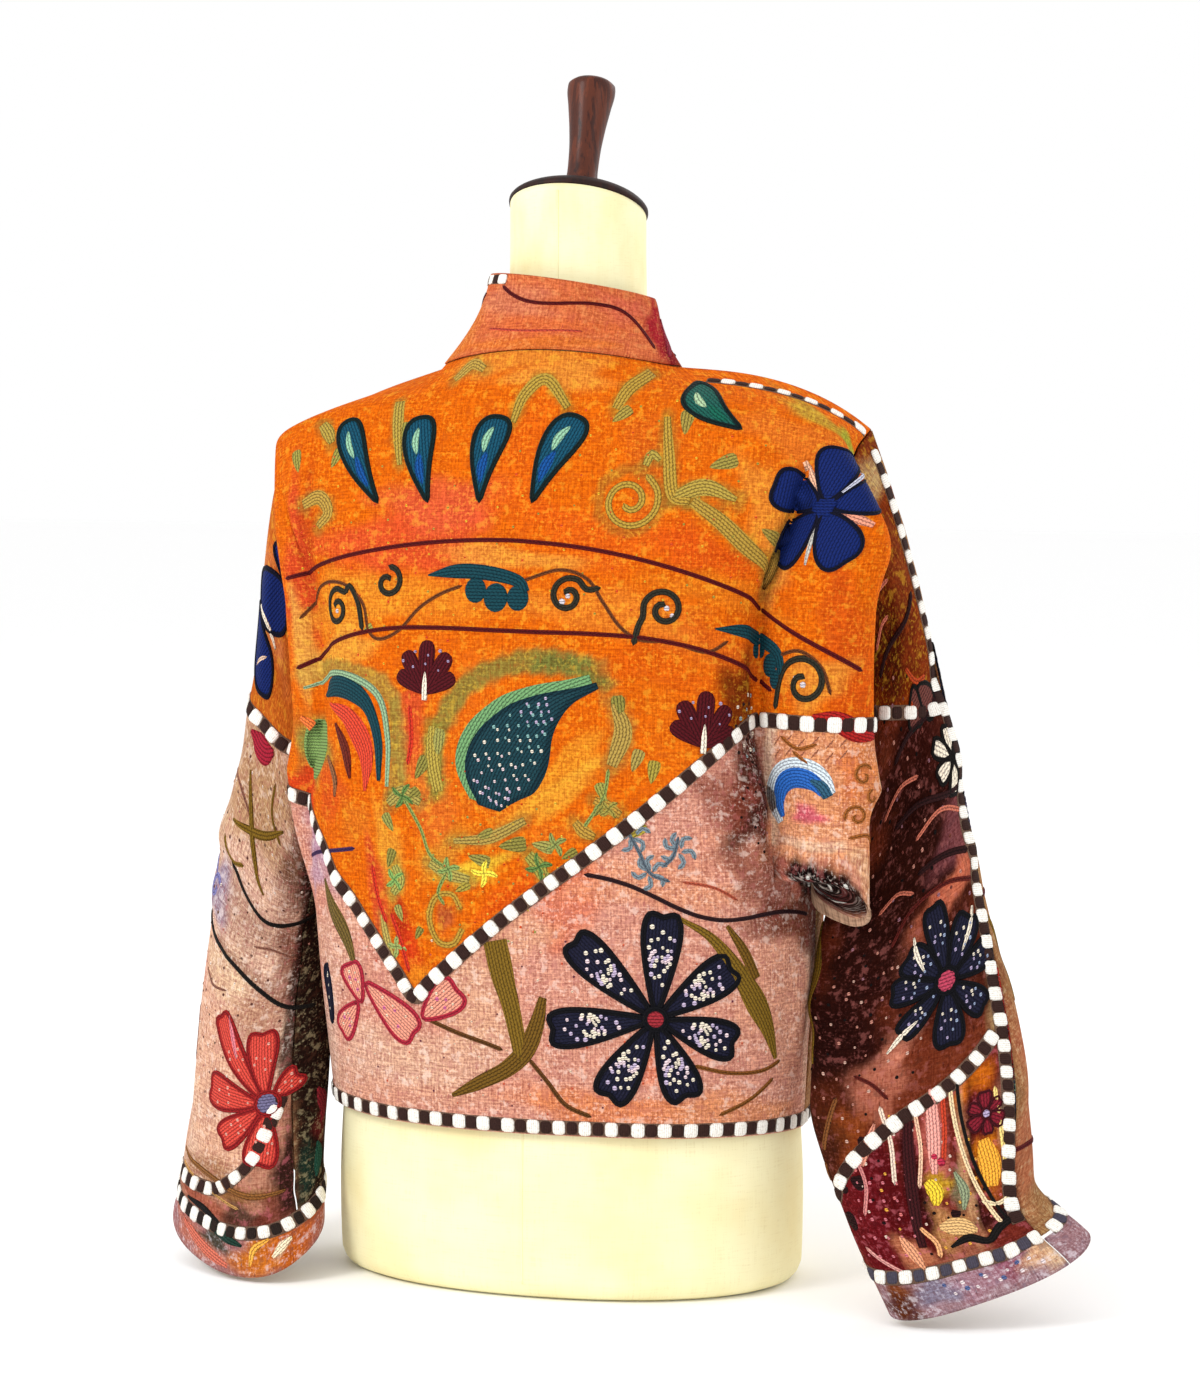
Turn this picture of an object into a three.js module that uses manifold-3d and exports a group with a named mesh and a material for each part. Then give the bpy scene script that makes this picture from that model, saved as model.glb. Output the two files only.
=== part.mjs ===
// Cropped patchwork jacket on a limbless dress form. Millimetres, +Z up, the jacket's front faces -Y.
// Every cloth point comes from body(), sleeve() or collar(); panels and trims are thin shells on them.
import * as THREE from 'three';
import Module from 'manifold-3d';

// ---- driving sizes -------------------------------------------------------------------------
const WALL = 2.0;            // cloth thickness
const TRIM_WALL = 1.5;       // woven trim thickness
const LIFT = 0.5;            // clear gap between a trim and the panel it is sewn on
const SEAM = 0.35;           // half of the gap left between two panels
const TRIM_WIDE = 11.0;      // width of the checked trims
const HEM_WIDE = 11.0;       // width of the hem binding
const ARMPIT = 0.42;         // level at which the side seam meets the armhole
const NECK_SHARE = 0.25;     // share of the top edge taken by the neck
const NECK = { side: 86, y: 18, back: 62, front: 98, z: 655, zBack: 666, zFront: 612 };
const COLLAR = { rx: 60, ry: 64, y: -12, z: 711, swing: 169.2 };
const CAP_TILT = THREE.MathUtils.degToRad(20);
const NECK_TOP = { y: -20, z: 767, r: 49 };

// body levels, hem to yoke: level, heights and depths behind and in front, squareness
const LEVELS = [
  { v: 0.00, z: 120, zf: 120, back: 117, front: 116, n: 2.3 },
  { v: 0.14, z: 196, zf: 192, back: 122, front: 120, n: 2.4 },
  { v: 0.28, z: 270, zf: 262, back: 127, front: 123, n: 2.5 },
  { v: 0.42, z: 340, zf: 330, back: 130, front: 124, n: 2.6 },
  { v: 0.56, z: 415, zf: 400, back: 131, front: 122, n: 2.6 },
  { v: 0.70, z: 490, zf: 468, back: 124, front: 114, n: 2.6 },
  { v: 0.84, z: 570, zf: 535, back: 106, front: 104, n: 2.6 },
  { v: 0.93, z: 630, zf: 580, back: 90, front: 92, n: 2.6 },
];
// side seam, then the armhole, at the same levels and the shoulder point
const SIDE = {
  right: [
    { out: 175, back: 0, front: 0, z: 114 }, { out: 180, back: 0, front: 0, z: 192 },
    { out: 184, back: 0, front: 0, z: 268 }, { out: 185, back: 4, front: -4, z: 332 },
    { out: 176, back: 14, front: -42, z: 402 }, { out: 178, back: 28, front: -60, z: 482 },
    { out: 206, back: 44, front: -54, z: 560 }, { out: 217, back: 28, front: -30, z: 597 },
    { out: 220, back: -4, front: -4, z: 611 }],
  left: [
    { out: 175, back: 0, front: 0, z: 126 }, { out: 181, back: 0, front: 0, z: 198 },
    { out: 186, back: 0, front: 0, z: 268 }, { out: 187, back: 2.5, front: -2.5, z: 335 },
    { out: 172, back: 24, front: -42, z: 405 }, { out: 174, back: 36, front: -60, z: 480 },
    { out: 198, back: 46, front: -54, z: 552 }, { out: 212, back: 26, front: -30, z: 588 },
    { out: 216, back: -4, front: -4, z: 601 }],
};
const SHOULDER_LINE = { right: 0.26, left: 0.75 };   // 1 = straight slope, 0 = all of it at the end
// turned folds at the back of each armhole: start, radii, headings, the levels where they live
const FOLD = {
  right: { from: 0.72, rx: 43, ry: 25, a: 50, b: -196, low: [0.335, 0.36], high: [0.76, 0.93], dent: 11 },
  left: { from: 0.80, rx: 22, ry: 16, a: 15, b: -186, low: [0.24, 0.44], high: [0.72, 0.92], dent: 0 },
};
const POUCH = { level: 0.365, spread: 0.02, drop: 44, under: 0.335, underSpread: 0.012, rise: 14 };

// sleeve rings from the upper arm to the cuff: centre, half width vector, half depth, its fall,
// and the seam angle round the ring in degrees
const RINGS = {
  right: [
    { out: 229, y: -14, z: 368, mx: 39, my: -8, mz: 62, d: 30, dz: -4, seam: 6 },
    { out: 246, y: -5, z: 266, mx: 53, my: -11, mz: 28, d: 34, dz: -6, seam: 14 },
    { out: 264, y: 22, z: 157, mx: 72, my: -20, mz: 14, d: 38, dz: -8, seam: 34 },
    { out: 286, y: 54, z: 80, mx: 62, my: -22, mz: 12, d: 34, dz: -9, seam: 43 },
    { out: 325, y: 76, z: 34, mx: 66, my: -20, mz: 26, d: 30, dz: -10, seam: 43 }],
  left: [
    { out: 218, y: -8, z: 368, mx: 27, my: -6, mz: 62, d: 33, dz: -4, seam: 6 },
    { out: 231, y: 0, z: 276, mx: 34, my: -21, mz: 28, d: 35, dz: -5, seam: 14 },
    { out: 235, y: 17, z: 160, mx: 44, my: -49, mz: 6, d: 41, dz: -7, seam: 30 },
    { out: 229, y: 47, z: 84, mx: 50, my: -46, mz: 8, d: 43, dz: -12, seam: 35 },
    { out: 227, y: 64, z: 36, mx: 61, my: -46, mz: 16, d: 42, dz: -27, seam: 35 }],
};
const RING_AT = [0, 0.26, 0.47, 0.70, 0.86, 1];
const RING_N = 2.3;

// dress form rings: height, half width, half depth, centre
const FORM = [
  [0, 158, 100, 0], [3, 166, 107, 0], [12, 171, 112, 0], [60, 172, 113, 0], [112, 170, 111, 0],
  [165, 160, 106, 0], [225, 142, 98, 0], [295, 127, 92, 0], [365, 142, 102, 0], [435, 158, 108, 0],
  [505, 160, 101, -1], [555, 158, 83, -3], [591, 151, 64, -3], [614.3, 140, 46, -1], [628.3, 127, 32, 5],
  [638.3, 111, 21, 10], [644.3, 92, 12, 12]];
const FORM_NECK = [
  [560, 66, 58, -8], [600, 62, 55, -14], [630, 58, 54, -17], [655, 53, 51, -19], [680, 50, 49, -20],
  [706, 49, 49, -20]];

// the V seam of the yoke and the seams of the sleeves
const V_SEAM = { tip: 0.235, tipLevel: 0.170, right: 0.565, left: 0.45 };
const JOINT = { right: 0.275, left: 0.285 };         // yoke joint on the over-arm line
const PATCH = { right: { from: 0.62, to: 0.845, bend: 1 }, left: { from: 0.893, to: 0.72, bend: 3.5 } };
const CUFF = 0.935;                                  // start of the cuff band

// ---- small helpers -------------------------------------------------------------------------
const V3 = (x, y, z) => new THREE.Vector3(x, y, z);
const rad = THREE.MathUtils.degToRad;
const clamp = THREE.MathUtils.clamp;
const ease = (a, b, x) => THREE.MathUtils.smoothstep(x, a, b);
const steps = (a, b, n) => Array.from({ length: n + 1 }, (_, i) => a + (b - a) * i / n);
const sgnPow = (x, p) => Math.sign(x) * Math.abs(x) ** p;
const sideOf = (u) => (u >= 0 ? 'left' : 'right');
const signOf = (side) => (side === 'left' ? 1 : -1);

/** Smooth curve through points at uneven knots, never past them; `first` fixes the start. */
function through(knots, pts, t, first = null) {
  const last = knots.length - 1;
  let k = 0;
  while (k < last - 1 && t > knots[k + 1]) k += 1;
  const gap = (i) => knots[i + 1] - knots[i];
  const slope = (i) => pts[i + 1].clone().sub(pts[i]).divideScalar(gap(i));
  const tangent = (i) => {
    if (i === 0) return first ? first(slope(0)) : slope(0);
    if (i === last) return slope(last - 1);
    const before = slope(i - 1).toArray();
    const after = slope(i).toArray();
    const w0 = 2 * gap(i) + gap(i - 1);
    const w1 = gap(i) + 2 * gap(i - 1);
    return V3(...before.map((d, c) => (d * after[c] > 0 ? (w0 + w1) / (w0 / d + w1 / after[c]) : 0)));
  };
  const h = gap(k);
  const q = (t - knots[k]) / h;
  const q2 = q * q;
  const q3 = q2 * q;
  return pts[k].clone().multiplyScalar(2 * q3 - 3 * q2 + 1)
    .addScaledVector(tangent(k), (q3 - 2 * q2 + q) * h)
    .addScaledVector(pts[k + 1], 3 * q2 - 2 * q3)
    .addScaledVector(tangent(k + 1), (q3 - q2) * h);
}

/** Quarter of a squarish oval: share of the half width and of the depth at u. */
function quarter(u, n) {
  const a = clamp(Math.abs(u), 0, 1) * Math.PI / 2;
  return [Math.sin(a) ** (2 / n), Math.cos(a) ** (2 / n)];
}

// ---- body ----------------------------------------------------------------------------------
/** Body before its folds. u -1 (right side) to 1 (left side), v 0 (hem) to 1 (neck, shoulder). */
function plainBody(u, v, front) {
  const side = sideOf(u);
  const sign = signOf(side);
  const seam = SIDE[side];
  const rows = LEVELS.map((l, k) => {
    const [f, g] = quarter(u, l.n);
    const end = seam[k];
    const y = front ? end.front : end.back;
    const depth = front ? -l.front : l.back;
    const z = front ? l.zf : l.z;
    return V3(sign * end.out * f, y + (depth - y) * g, z + (end.z - z) * u * u);
  });
  const [f] = quarter(u, 2.6);
  const [fn] = quarter(NECK_SHARE, 2.6);
  const w = clamp((f - fn) / (1 - fn), 0, 1);
  const a = clamp(Math.abs(u) / NECK_SHARE, 0, 1) * Math.PI / 2;
  const tip = seam[8];
  const neckY = NECK.y + (front ? -NECK.front : NECK.back) * Math.cos(a);
  const neckZ = NECK.z + (front ? (NECK.zFront - NECK.z) * Math.cos(a) ** 1.5
    : (NECK.zBack - NECK.z) * Math.cos(a) ** 2);
  const c = SHOULDER_LINE[side];
  rows.push(V3(
    sign * (NECK.side * Math.sin(a) + (tip.out - NECK.side) * w),
    neckY + (tip.back - NECK.y) * w,
    neckZ - (NECK.z - tip.z) * (c * w + (1 - c) * w ** 3)));
  return through([...LEVELS.map((l) => l.v), 1], rows, v);
}

/** Body with the turned fold behind each armhole and the hanging pouch on the right. */
function body(u, v, front = false) {
  const p = plainBody(u, v, front);
  if (front) return p;
  const side = sideOf(u);
  const sign = signOf(side);
  const F = FOLD[side];
  const au = Math.abs(u);
  const level = ease(F.low[0], F.low[1], v) * (1 - ease(F.high[0], F.high[1], v));
  const nearSeam = ease(0.82, 0.97, au) * (1 - ease(ARMPIT, ARMPIT + 0.06, v));
  const k = level * (1 - nearSeam);
  if (k <= 0) return p;
  const dent = F.dent * k * Math.exp(-(((au - F.from) / 0.035) ** 2));
  if (au <= F.from) return V3(p.x - sign * dent * 0.5, p.y - dent, p.z);
  const start = plainBody(F.from * sign, v, false);
  const end = plainBody(sign, v, false);
  const q = (au - F.from) / (1 - F.from);
  const a = rad(F.a);
  const heading = a - q * (a - rad(F.b));
  const at = (h) => [start.x * sign + F.rx * (Math.sin(a) - Math.sin(h)),
    start.y + F.ry * (Math.cos(h) - Math.cos(a))];
  const [rx, ry] = at(heading);
  const [ex, ey] = at(rad(F.b));
  const x = rx + (end.x * sign - ex) * q * q - dent * 0.5;
  const y = ry + (end.y - ey) * q * q - dent;
  let z = p.z;
  if (side === 'right') {
    const wide = Math.sin(Math.PI * q) ** 0.7 * (0.25 + 0.75 * ease(0.25, 0.6, q));
    z += wide * (POUCH.rise * Math.exp(-(((v - POUCH.under) / POUCH.underSpread) ** 2))
      - POUCH.drop * Math.exp(-(((v - POUCH.level) / POUCH.spread) ** 2)));
  }
  return V3(sign * (p.x * sign * (1 - k) + x * k), p.y * (1 - k) + y * k, z);
}

// ---- sleeves -------------------------------------------------------------------------------
/** Round the armhole: t 0 shoulder, 1 underarm by the back, 2 shoulder again by the front. */
function armhole(side, t) {
  const back = t <= 1;
  return plainBody(signOf(side), 1 - (1 - ARMPIT) * (back ? t : 2 - t), !back);
}

function ringPoint(side, r, t) {
  const sign = signOf(side);
  const s0 = rad(r.seam);
  const a = t <= 1 ? s0 + (Math.PI - s0) * t : Math.PI + (Math.PI + s0) * (t - 1);
  const across = V3(-r.my * sign, r.mx, 0).normalize().multiplyScalar(r.d);
  return V3(r.out * sign, r.y, r.z)
    .addScaledVector(V3(r.mx * sign, r.my, r.mz), sgnPow(Math.cos(a), 2 / RING_N))
    .addScaledVector(V3(across.x, across.y, r.dz), sgnPow(Math.sin(a), 2 / RING_N));
}

/** Sleeve point: s 0 armhole to 1 cuff, t round it as in armhole(). */
function sleeve(side, s, tIn) {
  const t = ((tIn % 2) + 2) % 2;
  const top = Math.abs(1 - t);
  const clear = t < 1 ? 2.6 * Math.sin(Math.PI * t) ** 0.5 : 0;              // room for the fold's own wall
  const pts = [armhole(side, t).add(V3(0, -clear, 0)), ...RINGS[side].map((r) => ringPoint(side, r, t))];
  const tuck = t < 1 ? -0.75 * Math.sin(Math.PI * t) * (1 - t ** 3) : 0;      // under the turned fold behind
  const heading = V3(signOf(side) * (0.80 - 0.42 * top), tuck, -(0.60 + 0.32 * top));
  return through(RING_AT, pts, s, (d) => heading.multiplyScalar(d.length() * (0.9 + 0.1 * top)));
}

// ---- collar --------------------------------------------------------------------------------
/** Stand collar: a -1 to 1 from the right front edge round the back, h 0 to 1 upwards. */
function collar(a, h) {
  const th = a * rad(COLLAR.swing);
  const c = Math.cos(th);
  const s = Math.sin(th);
  const base = V3(NECK.side * s, NECK.y + (c > 0 ? NECK.back : NECK.front) * c,
    NECK.z + 1.2 + (c > 0 ? (NECK.zBack - NECK.z) * c * c : (NECK.zFront - NECK.z) * (-c) ** 1.5));
  const top = V3(COLLAR.rx * s, COLLAR.y + COLLAR.ry * c, COLLAR.z + 8 * s + (c > 0 ? 6 : 42) * c);
  const g = h + 0.18 * Math.sin(Math.PI * h);
  return V3(base.x + (top.x - base.x) * g, base.y + (top.y - base.y) * g, base.z + (top.z - base.z) * h);
}

// ---- shells --------------------------------------------------------------------------------
/** Closed shell over a grid of points fn(a, b); `outer` mm above the surface, `wall` mm thick. */
function shell(fn, as, bs, { outer = 0, wall = WALL, flip = false } = {}) {
  const na = as.length;
  const nb = bs.length;
  const normal = (a, b) => {
    const e = 1e-3;
    const da = fn(a + e, b).sub(fn(a - e, b));
    const db = fn(a, b + e).sub(fn(a, b - e));
    return da.cross(db).multiplyScalar(flip ? -1 : 1).normalize();
  };
  const pos = [];
  for (const level of [outer, outer - wall]) {
    for (let j = 0; j < nb; j += 1) {
      for (let i = 0; i < na; i += 1) {
        const b = typeof bs[j] === 'function' ? bs[j](as[i]) : bs[j];
        const p = fn(as[i], b).addScaledVector(normal(as[i], b), level);
        pos.push(p.x, p.y, p.z);
      }
    }
  }
  const idx = [];
  const quad = (a, b, c, d) => (flip ? idx.push(a, c, b, a, d, c) : idx.push(a, b, c, a, c, d));
  const o = (i, j) => j * na + i;
  const n = (i, j) => na * nb + j * na + i;
  for (let j = 0; j < nb - 1; j += 1) {
    for (let i = 0; i < na - 1; i += 1) {
      quad(o(i, j), o(i + 1, j), o(i + 1, j + 1), o(i, j + 1));
      quad(n(i, j), n(i, j + 1), n(i + 1, j + 1), n(i + 1, j));
    }
  }
  for (let i = 0; i < na - 1; i += 1) {
    quad(n(i, 0), n(i + 1, 0), o(i + 1, 0), o(i, 0));
    quad(o(i, nb - 1), o(i + 1, nb - 1), n(i + 1, nb - 1), n(i, nb - 1));
  }
  for (let j = 0; j < nb - 1; j += 1) {
    quad(n(0, j + 1), n(0, j), o(0, j), o(0, j + 1));
    quad(o(na - 1, j + 1), o(na - 1, j), n(na - 1, j), n(na - 1, j + 1));
  }
  const g = new THREE.BufferGeometry();
  g.setAttribute('position', new THREE.Float32BufferAttribute(pos, 3));
  g.setIndex(idx);
  g.computeVertexNormals();
  return g;
}

const wasm = await Module();
wasm.setup();
/** Two closed geometries joined into one. */
function joined(...geometries) {
  const solids = geometries.map((g) => new wasm.Manifold(new wasm.Mesh({
    numProp: 3, vertProperties: new Float32Array(g.attributes.position.array), triVerts: new Uint32Array(g.index.array),
  })));
  const mesh = wasm.Manifold.union(solids).getMesh();
  const out = new THREE.BufferGeometry();
  out.setAttribute('position', new THREE.Float32BufferAttribute(mesh.vertProperties, 3));
  out.setIndex([...mesh.triVerts]);
  out.computeVertexNormals();
  return out;
}

const part = new THREE.Group();
part.name = 'patchwork_jacket_on_form';
function add(name, geometry, color, roughness = 0.9) {
  const m = new THREE.Mesh(geometry, new THREE.MeshStandardMaterial({ color, roughness, metalness: 0 }));
  m.name = name;
  part.add(m);
}

const ORANGE = '#dd7a2b';
const PINK = '#cf8a72';
const TAN = '#a98b62';
const CHECK = '#8c8078';
const CREAM = '#f3ecc9';

// ---- panels --------------------------------------------------------------------------------
// columns and rows shared by neighbouring pieces, so that both sides of a seam bend alike
const BODY_TALL = 545;                       // hem to neck, for turning millimetres into levels
const tall = (mm) => mm / BODY_TALL;
const SEAM_V = tall(SEAM);
const SEAM_U = 0.0024;                       // the same gap along u, where the section is about 290 mm
const NECK_U = [0.05, 0.10, 0.15, 0.20, 0.25];     // columns behind the neck, 18 degrees of the neckline each
const NECK_FRONT_U = [0.03, 0.08, 0.13, 0.19, 0.25];
const BACK_U = [-1 + SEAM_U, -0.965, -0.93, -0.89, -0.85, -0.81, -0.77, -0.74, -0.72, -0.68,
  -0.57, -0.46, -0.35, ...NECK_U.map((u) => -u).reverse(), 0, 0.05, 0.10, 0.15, 0.20, V_SEAM.tip,
  0.25, 0.36, 0.47, 0.58, 0.68, 0.75, 0.80,
  0.84, 0.88, 0.92, 0.96, 1 - SEAM_U];
const FRONT_U = [...NECK_FRONT_U, 0.38, 0.52, 0.66, 0.78, 0.90, 1 - SEAM_U];
const ARM_T = [0.08, 0.20, 0.32, 0.45, 0.58, 0.69];   // stations round the armhole, from the shoulder
const levelAt = (t) => 1 - (1 - ARMPIT) * t;

/** Level of the V seam: straight in width from its tip to both sides. */
function vSeam(u) {
  const w = (x) => Math.sign(x) * quarter(x, 2.5)[0];
  const tip = w(V_SEAM.tip);
  if (u > V_SEAM.tip) return V_SEAM.tipLevel + (V_SEAM.left - V_SEAM.tipLevel) * (w(u) - tip) / (1 - tip);
  const crease = w(-FOLD.right.from);
  return V_SEAM.tipLevel + (V_SEAM.right - V_SEAM.tipLevel) * clamp((tip - w(u)) / (tip - crease), 0, 1);
}
const YOKE_ROWS = [
  ...[0, 0.25, 0.5, 0.75].map((q) => (u) => vSeam(u) + SEAM_V + (levelAt(0.69) - vSeam(u) - SEAM_V) * q),
  ...[...ARM_T].reverse().map(levelAt), 1 - SEAM_V];
add('back_yoke', shell(body, BACK_U, YOKE_ROWS, { flip: true }), ORANGE);
const LOWER_SHARE = [0, 0.18, 0.36, 0.54, 0.59, 0.62, 0.645, 0.67, 0.72, 0.82, 0.91, 1];
const toSeam = (q) => (u) => q * (vSeam(u) - SEAM_V);
add('back_lower', shell(body, BACK_U, LOWER_SHARE.map(toSeam), { flip: true }), PINK);

const bothWays = (list, sign) => (sign > 0 ? list : list.map((u) => -u).reverse());
const frontBody = (u, v) => body(u, v, true);
const frontRows = {};
for (const side of ['right', 'left']) {
  const sign = signOf(side);
  const below = LOWER_SHARE.map((q) => toSeam(q)(sign)).filter((v) => v < ARMPIT - 0.02);
  const rows = frontRows[side] = [...below, ARMPIT, ...[0.86, ...[...ARM_T].reverse()].map(levelAt), 1 - 2.5 * SEAM_V];
  add(`front_${side}`, shell(frontBody, bothWays(FRONT_U, sign), rows), TAN);
}

/** Share of the sleeve at which the yoke joint crosses, at t round the back half. */
const meetT = (side) => (1 - vSeam(signOf(side))) / (1 - ARMPIT);
const joint = (side, t) => JOINT[side] * (1 - clamp(t / meetT(side), 0, 1) ** 2.2);
const patchEdge = (side, t) => PATCH[side].from + (PATCH[side].to - PATCH[side].from) * Math.max(t, 0) ** PATCH[side].bend;
const ARM_LONG = 560;
const SEAM_S = SEAM / ARM_LONG;
const SEAM_T = 0.0037;
const START = 0.001;                         // the sleeve starts just off the armhole
const HEAD = 6;                              // rows of the sleeve head, the sleeve back, the patch
const BACK = 8;
const LAST = 4;
const T_BACK = [SEAM_T, ...ARM_T, 0.80, 0.90, 1 - 1.5 * SEAM_T];
const T_FRONT = [1 + 1.5 * SEAM_T, 1.14, ...[...ARM_T].reverse().map((t) => 2 - t), 2 - SEAM_T];

const overRows = {};                         // rows met along the over-arm seam
for (const side of ['right', 'left']) {
  const flip = side === 'left';
  const fn = (t, s) => sleeve(side, s, t);
  const meet = meetT(side);
  const between = (a, b, n) => steps(0, 1, n).map((q) => (t) => a(t) + SEAM_S + (b(t) - a(t) - 2 * SEAM_S) * q);
  const start = (t) => START + 0.026 * Math.exp(-(((t - 1) / 0.1) ** 2));
  const head = between(start, (t) => joint(side, t), HEAD);
  const back = between((t) => Math.max(joint(side, t), start(t)), (t) => patchEdge(side, t), BACK);
  const last = [...between((t) => patchEdge(side, t), () => CUFF - 0.012, LAST), () => CUFF - SEAM_S];
  const tHead = T_BACK.filter((t) => t < meet - 0.02);
  if (meet - tHead.at(-1) > 0.05) tHead.push(meet - 0.02);
  add(`sleeve_head_${side}`, shell(fn, tHead, head, { flip }), ORANGE);
  add(`sleeve_back_${side}`, shell(fn, T_BACK, back, { flip }), PINK);
  add(`cuff_patch_${side}`, shell(fn, T_BACK, last, { flip }), '#8e3b33');
  // rows of the sleeve front: the back pieces' own rows at both seams
  overRows[side] = [...head, ...back.slice(1), ...last.slice(1)];
  const over = overRows[side].map((f) => f(0));
  const under = [...back, ...last.slice(1)].map((f) => f(1));
  const halved = under.flatMap((v, i) => (i > 0 && i <= HEAD ? [(v + under[i - 1]) / 2, v] : [v]));
  const rows = over.map((v, i) => (t) => halved[i] + (v - halved[i]) * (t - 1));
  add(`sleeve_front_${side}`, shell(fn, T_FRONT, rows, { flip }), TAN);
  const tCuff = [...T_BACK.slice(0, -1), 1, ...T_FRONT.slice(1, -1), 2 - SEAM_T];
  add(`cuff_band_${side}`, shell(fn, tCuff, [CUFF + 0.0065, CUFF + 0.012, 0.97, 1], { flip }), '#b98a90');
}

const COLLAR_A = [0, 18, 36, 54, 72, 90, 111.6, 133.2, 151.2, 169.2].flatMap((a) => (a ? [-a, a] : [0]))
  .sort((a, b) => a - b).map((a) => a / COLLAR.swing);
add('collar', shell(collar, COLLAR_A, [0, 0.33, 0.62, 0.86, 1], { flip: true }), '#d98468');

// ---- trims: strips moved out from the panels' own points -----------------------------------
const TRIM = { outer: LIFT + TRIM_WALL, wall: TRIM_WALL };
const half = tall(TRIM_WIDE / 2) * 1.22;     // the V trim runs at a slant
add('trim_v', shell(body, BACK_U.slice(2, -2), [-1, 1].map((k) => (u) => vSeam(u) + k * half),
  { ...TRIM, outer: TRIM.outer + 1.0, flip: true }), CHECK);
add('hem_binding_back', shell(body, BACK_U, [tall(0.5), tall(HEM_WIDE)], { ...TRIM, flip: true }), CHECK);
for (const side of ['right', 'left']) {
  const sign = signOf(side);
  const flip = side === 'left';
  const fn = (t, s) => sleeve(side, s, t);
  const wide = TRIM_WIDE / ARM_LONG / 2;
  add(`hem_binding_${side}`, shell(frontBody, bothWays(FRONT_U, sign), [tall(0.5), tall(HEM_WIDE)], TRIM), CHECK);
  const edge = bothWays([NECK_FRONT_U[0] + 0.002, NECK_FRONT_U[0] + 0.037], sign);
  add(`trim_front_${side}`, shell(frontBody, edge, [tall(HEM_WIDE) + 0.002,
    ...frontRows[side].slice(1, -1), 0.985], { ...TRIM, outer: TRIM.outer + 0.4 }), CHECK);
  const along = bothWays([0.29, 0.36, 0.47, 0.58, 0.68, 0.75, 0.80, 0.84, 0.88, 0.92, 0.96], sign);
  // the over-arm trim lies behind the seam on the right and in front of it on the left
  const before = side === 'left';
  add(`trim_shoulder_${side}`, shell((u, v) => body(u, v, before), along, [0.966, 0.988], { ...TRIM, flip: !before }),
    CHECK);
  const ends = [() => 0.014, ...overRows[side].slice(1, -2), () => CUFF - 0.016];
  add(`trim_overarm_${side}`, shell(fn, before ? [1.925, 1.988] : [0.012, 0.075],
    before ? ends.map((f) => () => f(0)) : ends, { ...TRIM, flip }), CHECK);
  const tJoint = ARM_T.map((t, i) => (i ? t : 0.09)).filter((t) => t < meetT(side) * 0.86);
  add(`trim_joint_${side}`, shell(fn, tJoint, [-1, 1].map((k) => (t) => joint(side, t) + k * wide),
    { ...TRIM, flip }), CHECK);
  const tPatch = [0.09, ...T_BACK.slice(2, -1), 0.98];
  add(`trim_patch_${side}`, shell(fn, tPatch, [-1, 1].map((k) => (t) => patchEdge(side, t) + k * wide * 1.15),
    { ...TRIM, flip }), CHECK);
  const tCuff = [...T_BACK.slice(0, -1), 1, ...T_FRONT.slice(1, -1), 2 - 0.012];
  add(`trim_cuff_${side}`, shell(fn, tCuff, [CUFF - 0.010, CUFF + 0.010], { ...TRIM, flip }), CHECK);
}
add('trim_collar', shell(collar, COLLAR_A.filter((a) => a > 0.2).map((a) => a * 0.997), [0.86, 0.99], { ...TRIM, flip: true }), CHECK);

// ---- dress form ----------------------------------------------------------------------------
const AROUND = 40;
function loft(rings) {
  const pos = [];
  rings.forEach((ring) => {
    for (let i = 0; i < AROUND; i += 1) {
      const p = ring(2 * Math.PI * i / AROUND);
      pos.push(p.x, p.y, p.z);
    }
  });
  const idx = [];
  const last = rings.length - 1;
  for (let j = 0; j < last; j += 1) {
    for (let i = 0; i < AROUND; i += 1) {
      const a = j * AROUND + i;
      const b = j * AROUND + (i + 1) % AROUND;
      idx.push(a, b, b + AROUND, a, b + AROUND, a + AROUND);
    }
  }
  for (const [row, up] of [[0, false], [last, true]]) {
    const c = new THREE.Vector3();
    for (let i = 0; i < AROUND; i += 1) c.add(V3(...pos.slice((row * AROUND + i) * 3, (row * AROUND + i) * 3 + 3)));
    c.divideScalar(AROUND);
    const k = pos.length / 3;
    pos.push(c.x, c.y, c.z);
    for (let i = 0; i < AROUND; i += 1) {
      const a = row * AROUND + i;
      const b = row * AROUND + (i + 1) % AROUND;
      if (up) idx.push(k, a, b);
      else idx.push(k, b, a);
    }
  }
  const g = new THREE.BufferGeometry();
  g.setAttribute('position', new THREE.Float32BufferAttribute(pos, 3));
  g.setIndex(idx);
  g.computeVertexNormals();
  return g;
}
const oval = ([z, a, b, y]) => (t) => {
  const n = 2 / 2.15;
  return V3(a * sgnPow(Math.cos(t), n), y + b * sgnPow(Math.sin(t), n), z);
};
const slant = Math.tan(CAP_TILT);
/** Ring square to the tilted neck top: radius r, h mm above it along the finial. */
const tilted = (r, h) => (t) => {
  const p = V3(r * Math.cos(t), r * Math.sin(t), h).applyAxisAngle(V3(1, 0, 0), CAP_TILT);
  return p.add(V3(0, NECK_TOP.y, NECK_TOP.z));
};
const slanted = (drop, share) => (t) => V3(NECK_TOP.r * Math.cos(t), NECK_TOP.y + NECK_TOP.r * Math.sin(t),
  NECK_TOP.z - drop + NECK_TOP.r * Math.sin(t) * slant * share);
const neck = loft([...FORM_NECK.map(oval), slanted(24, 0.6), slanted(1, 1)]);
add('form_torso', joined(loft(FORM.map(oval)), neck), CREAM, 0.85);
add('form_cap', loft([[50, -0.3], [50.5, 2.2], [47, 6.5], [38, 11], [26, 14.5], [15, 16.2]].map(([r, h]) => tilted(r, h))),
  '#3b1c12', 0.4);
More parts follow.
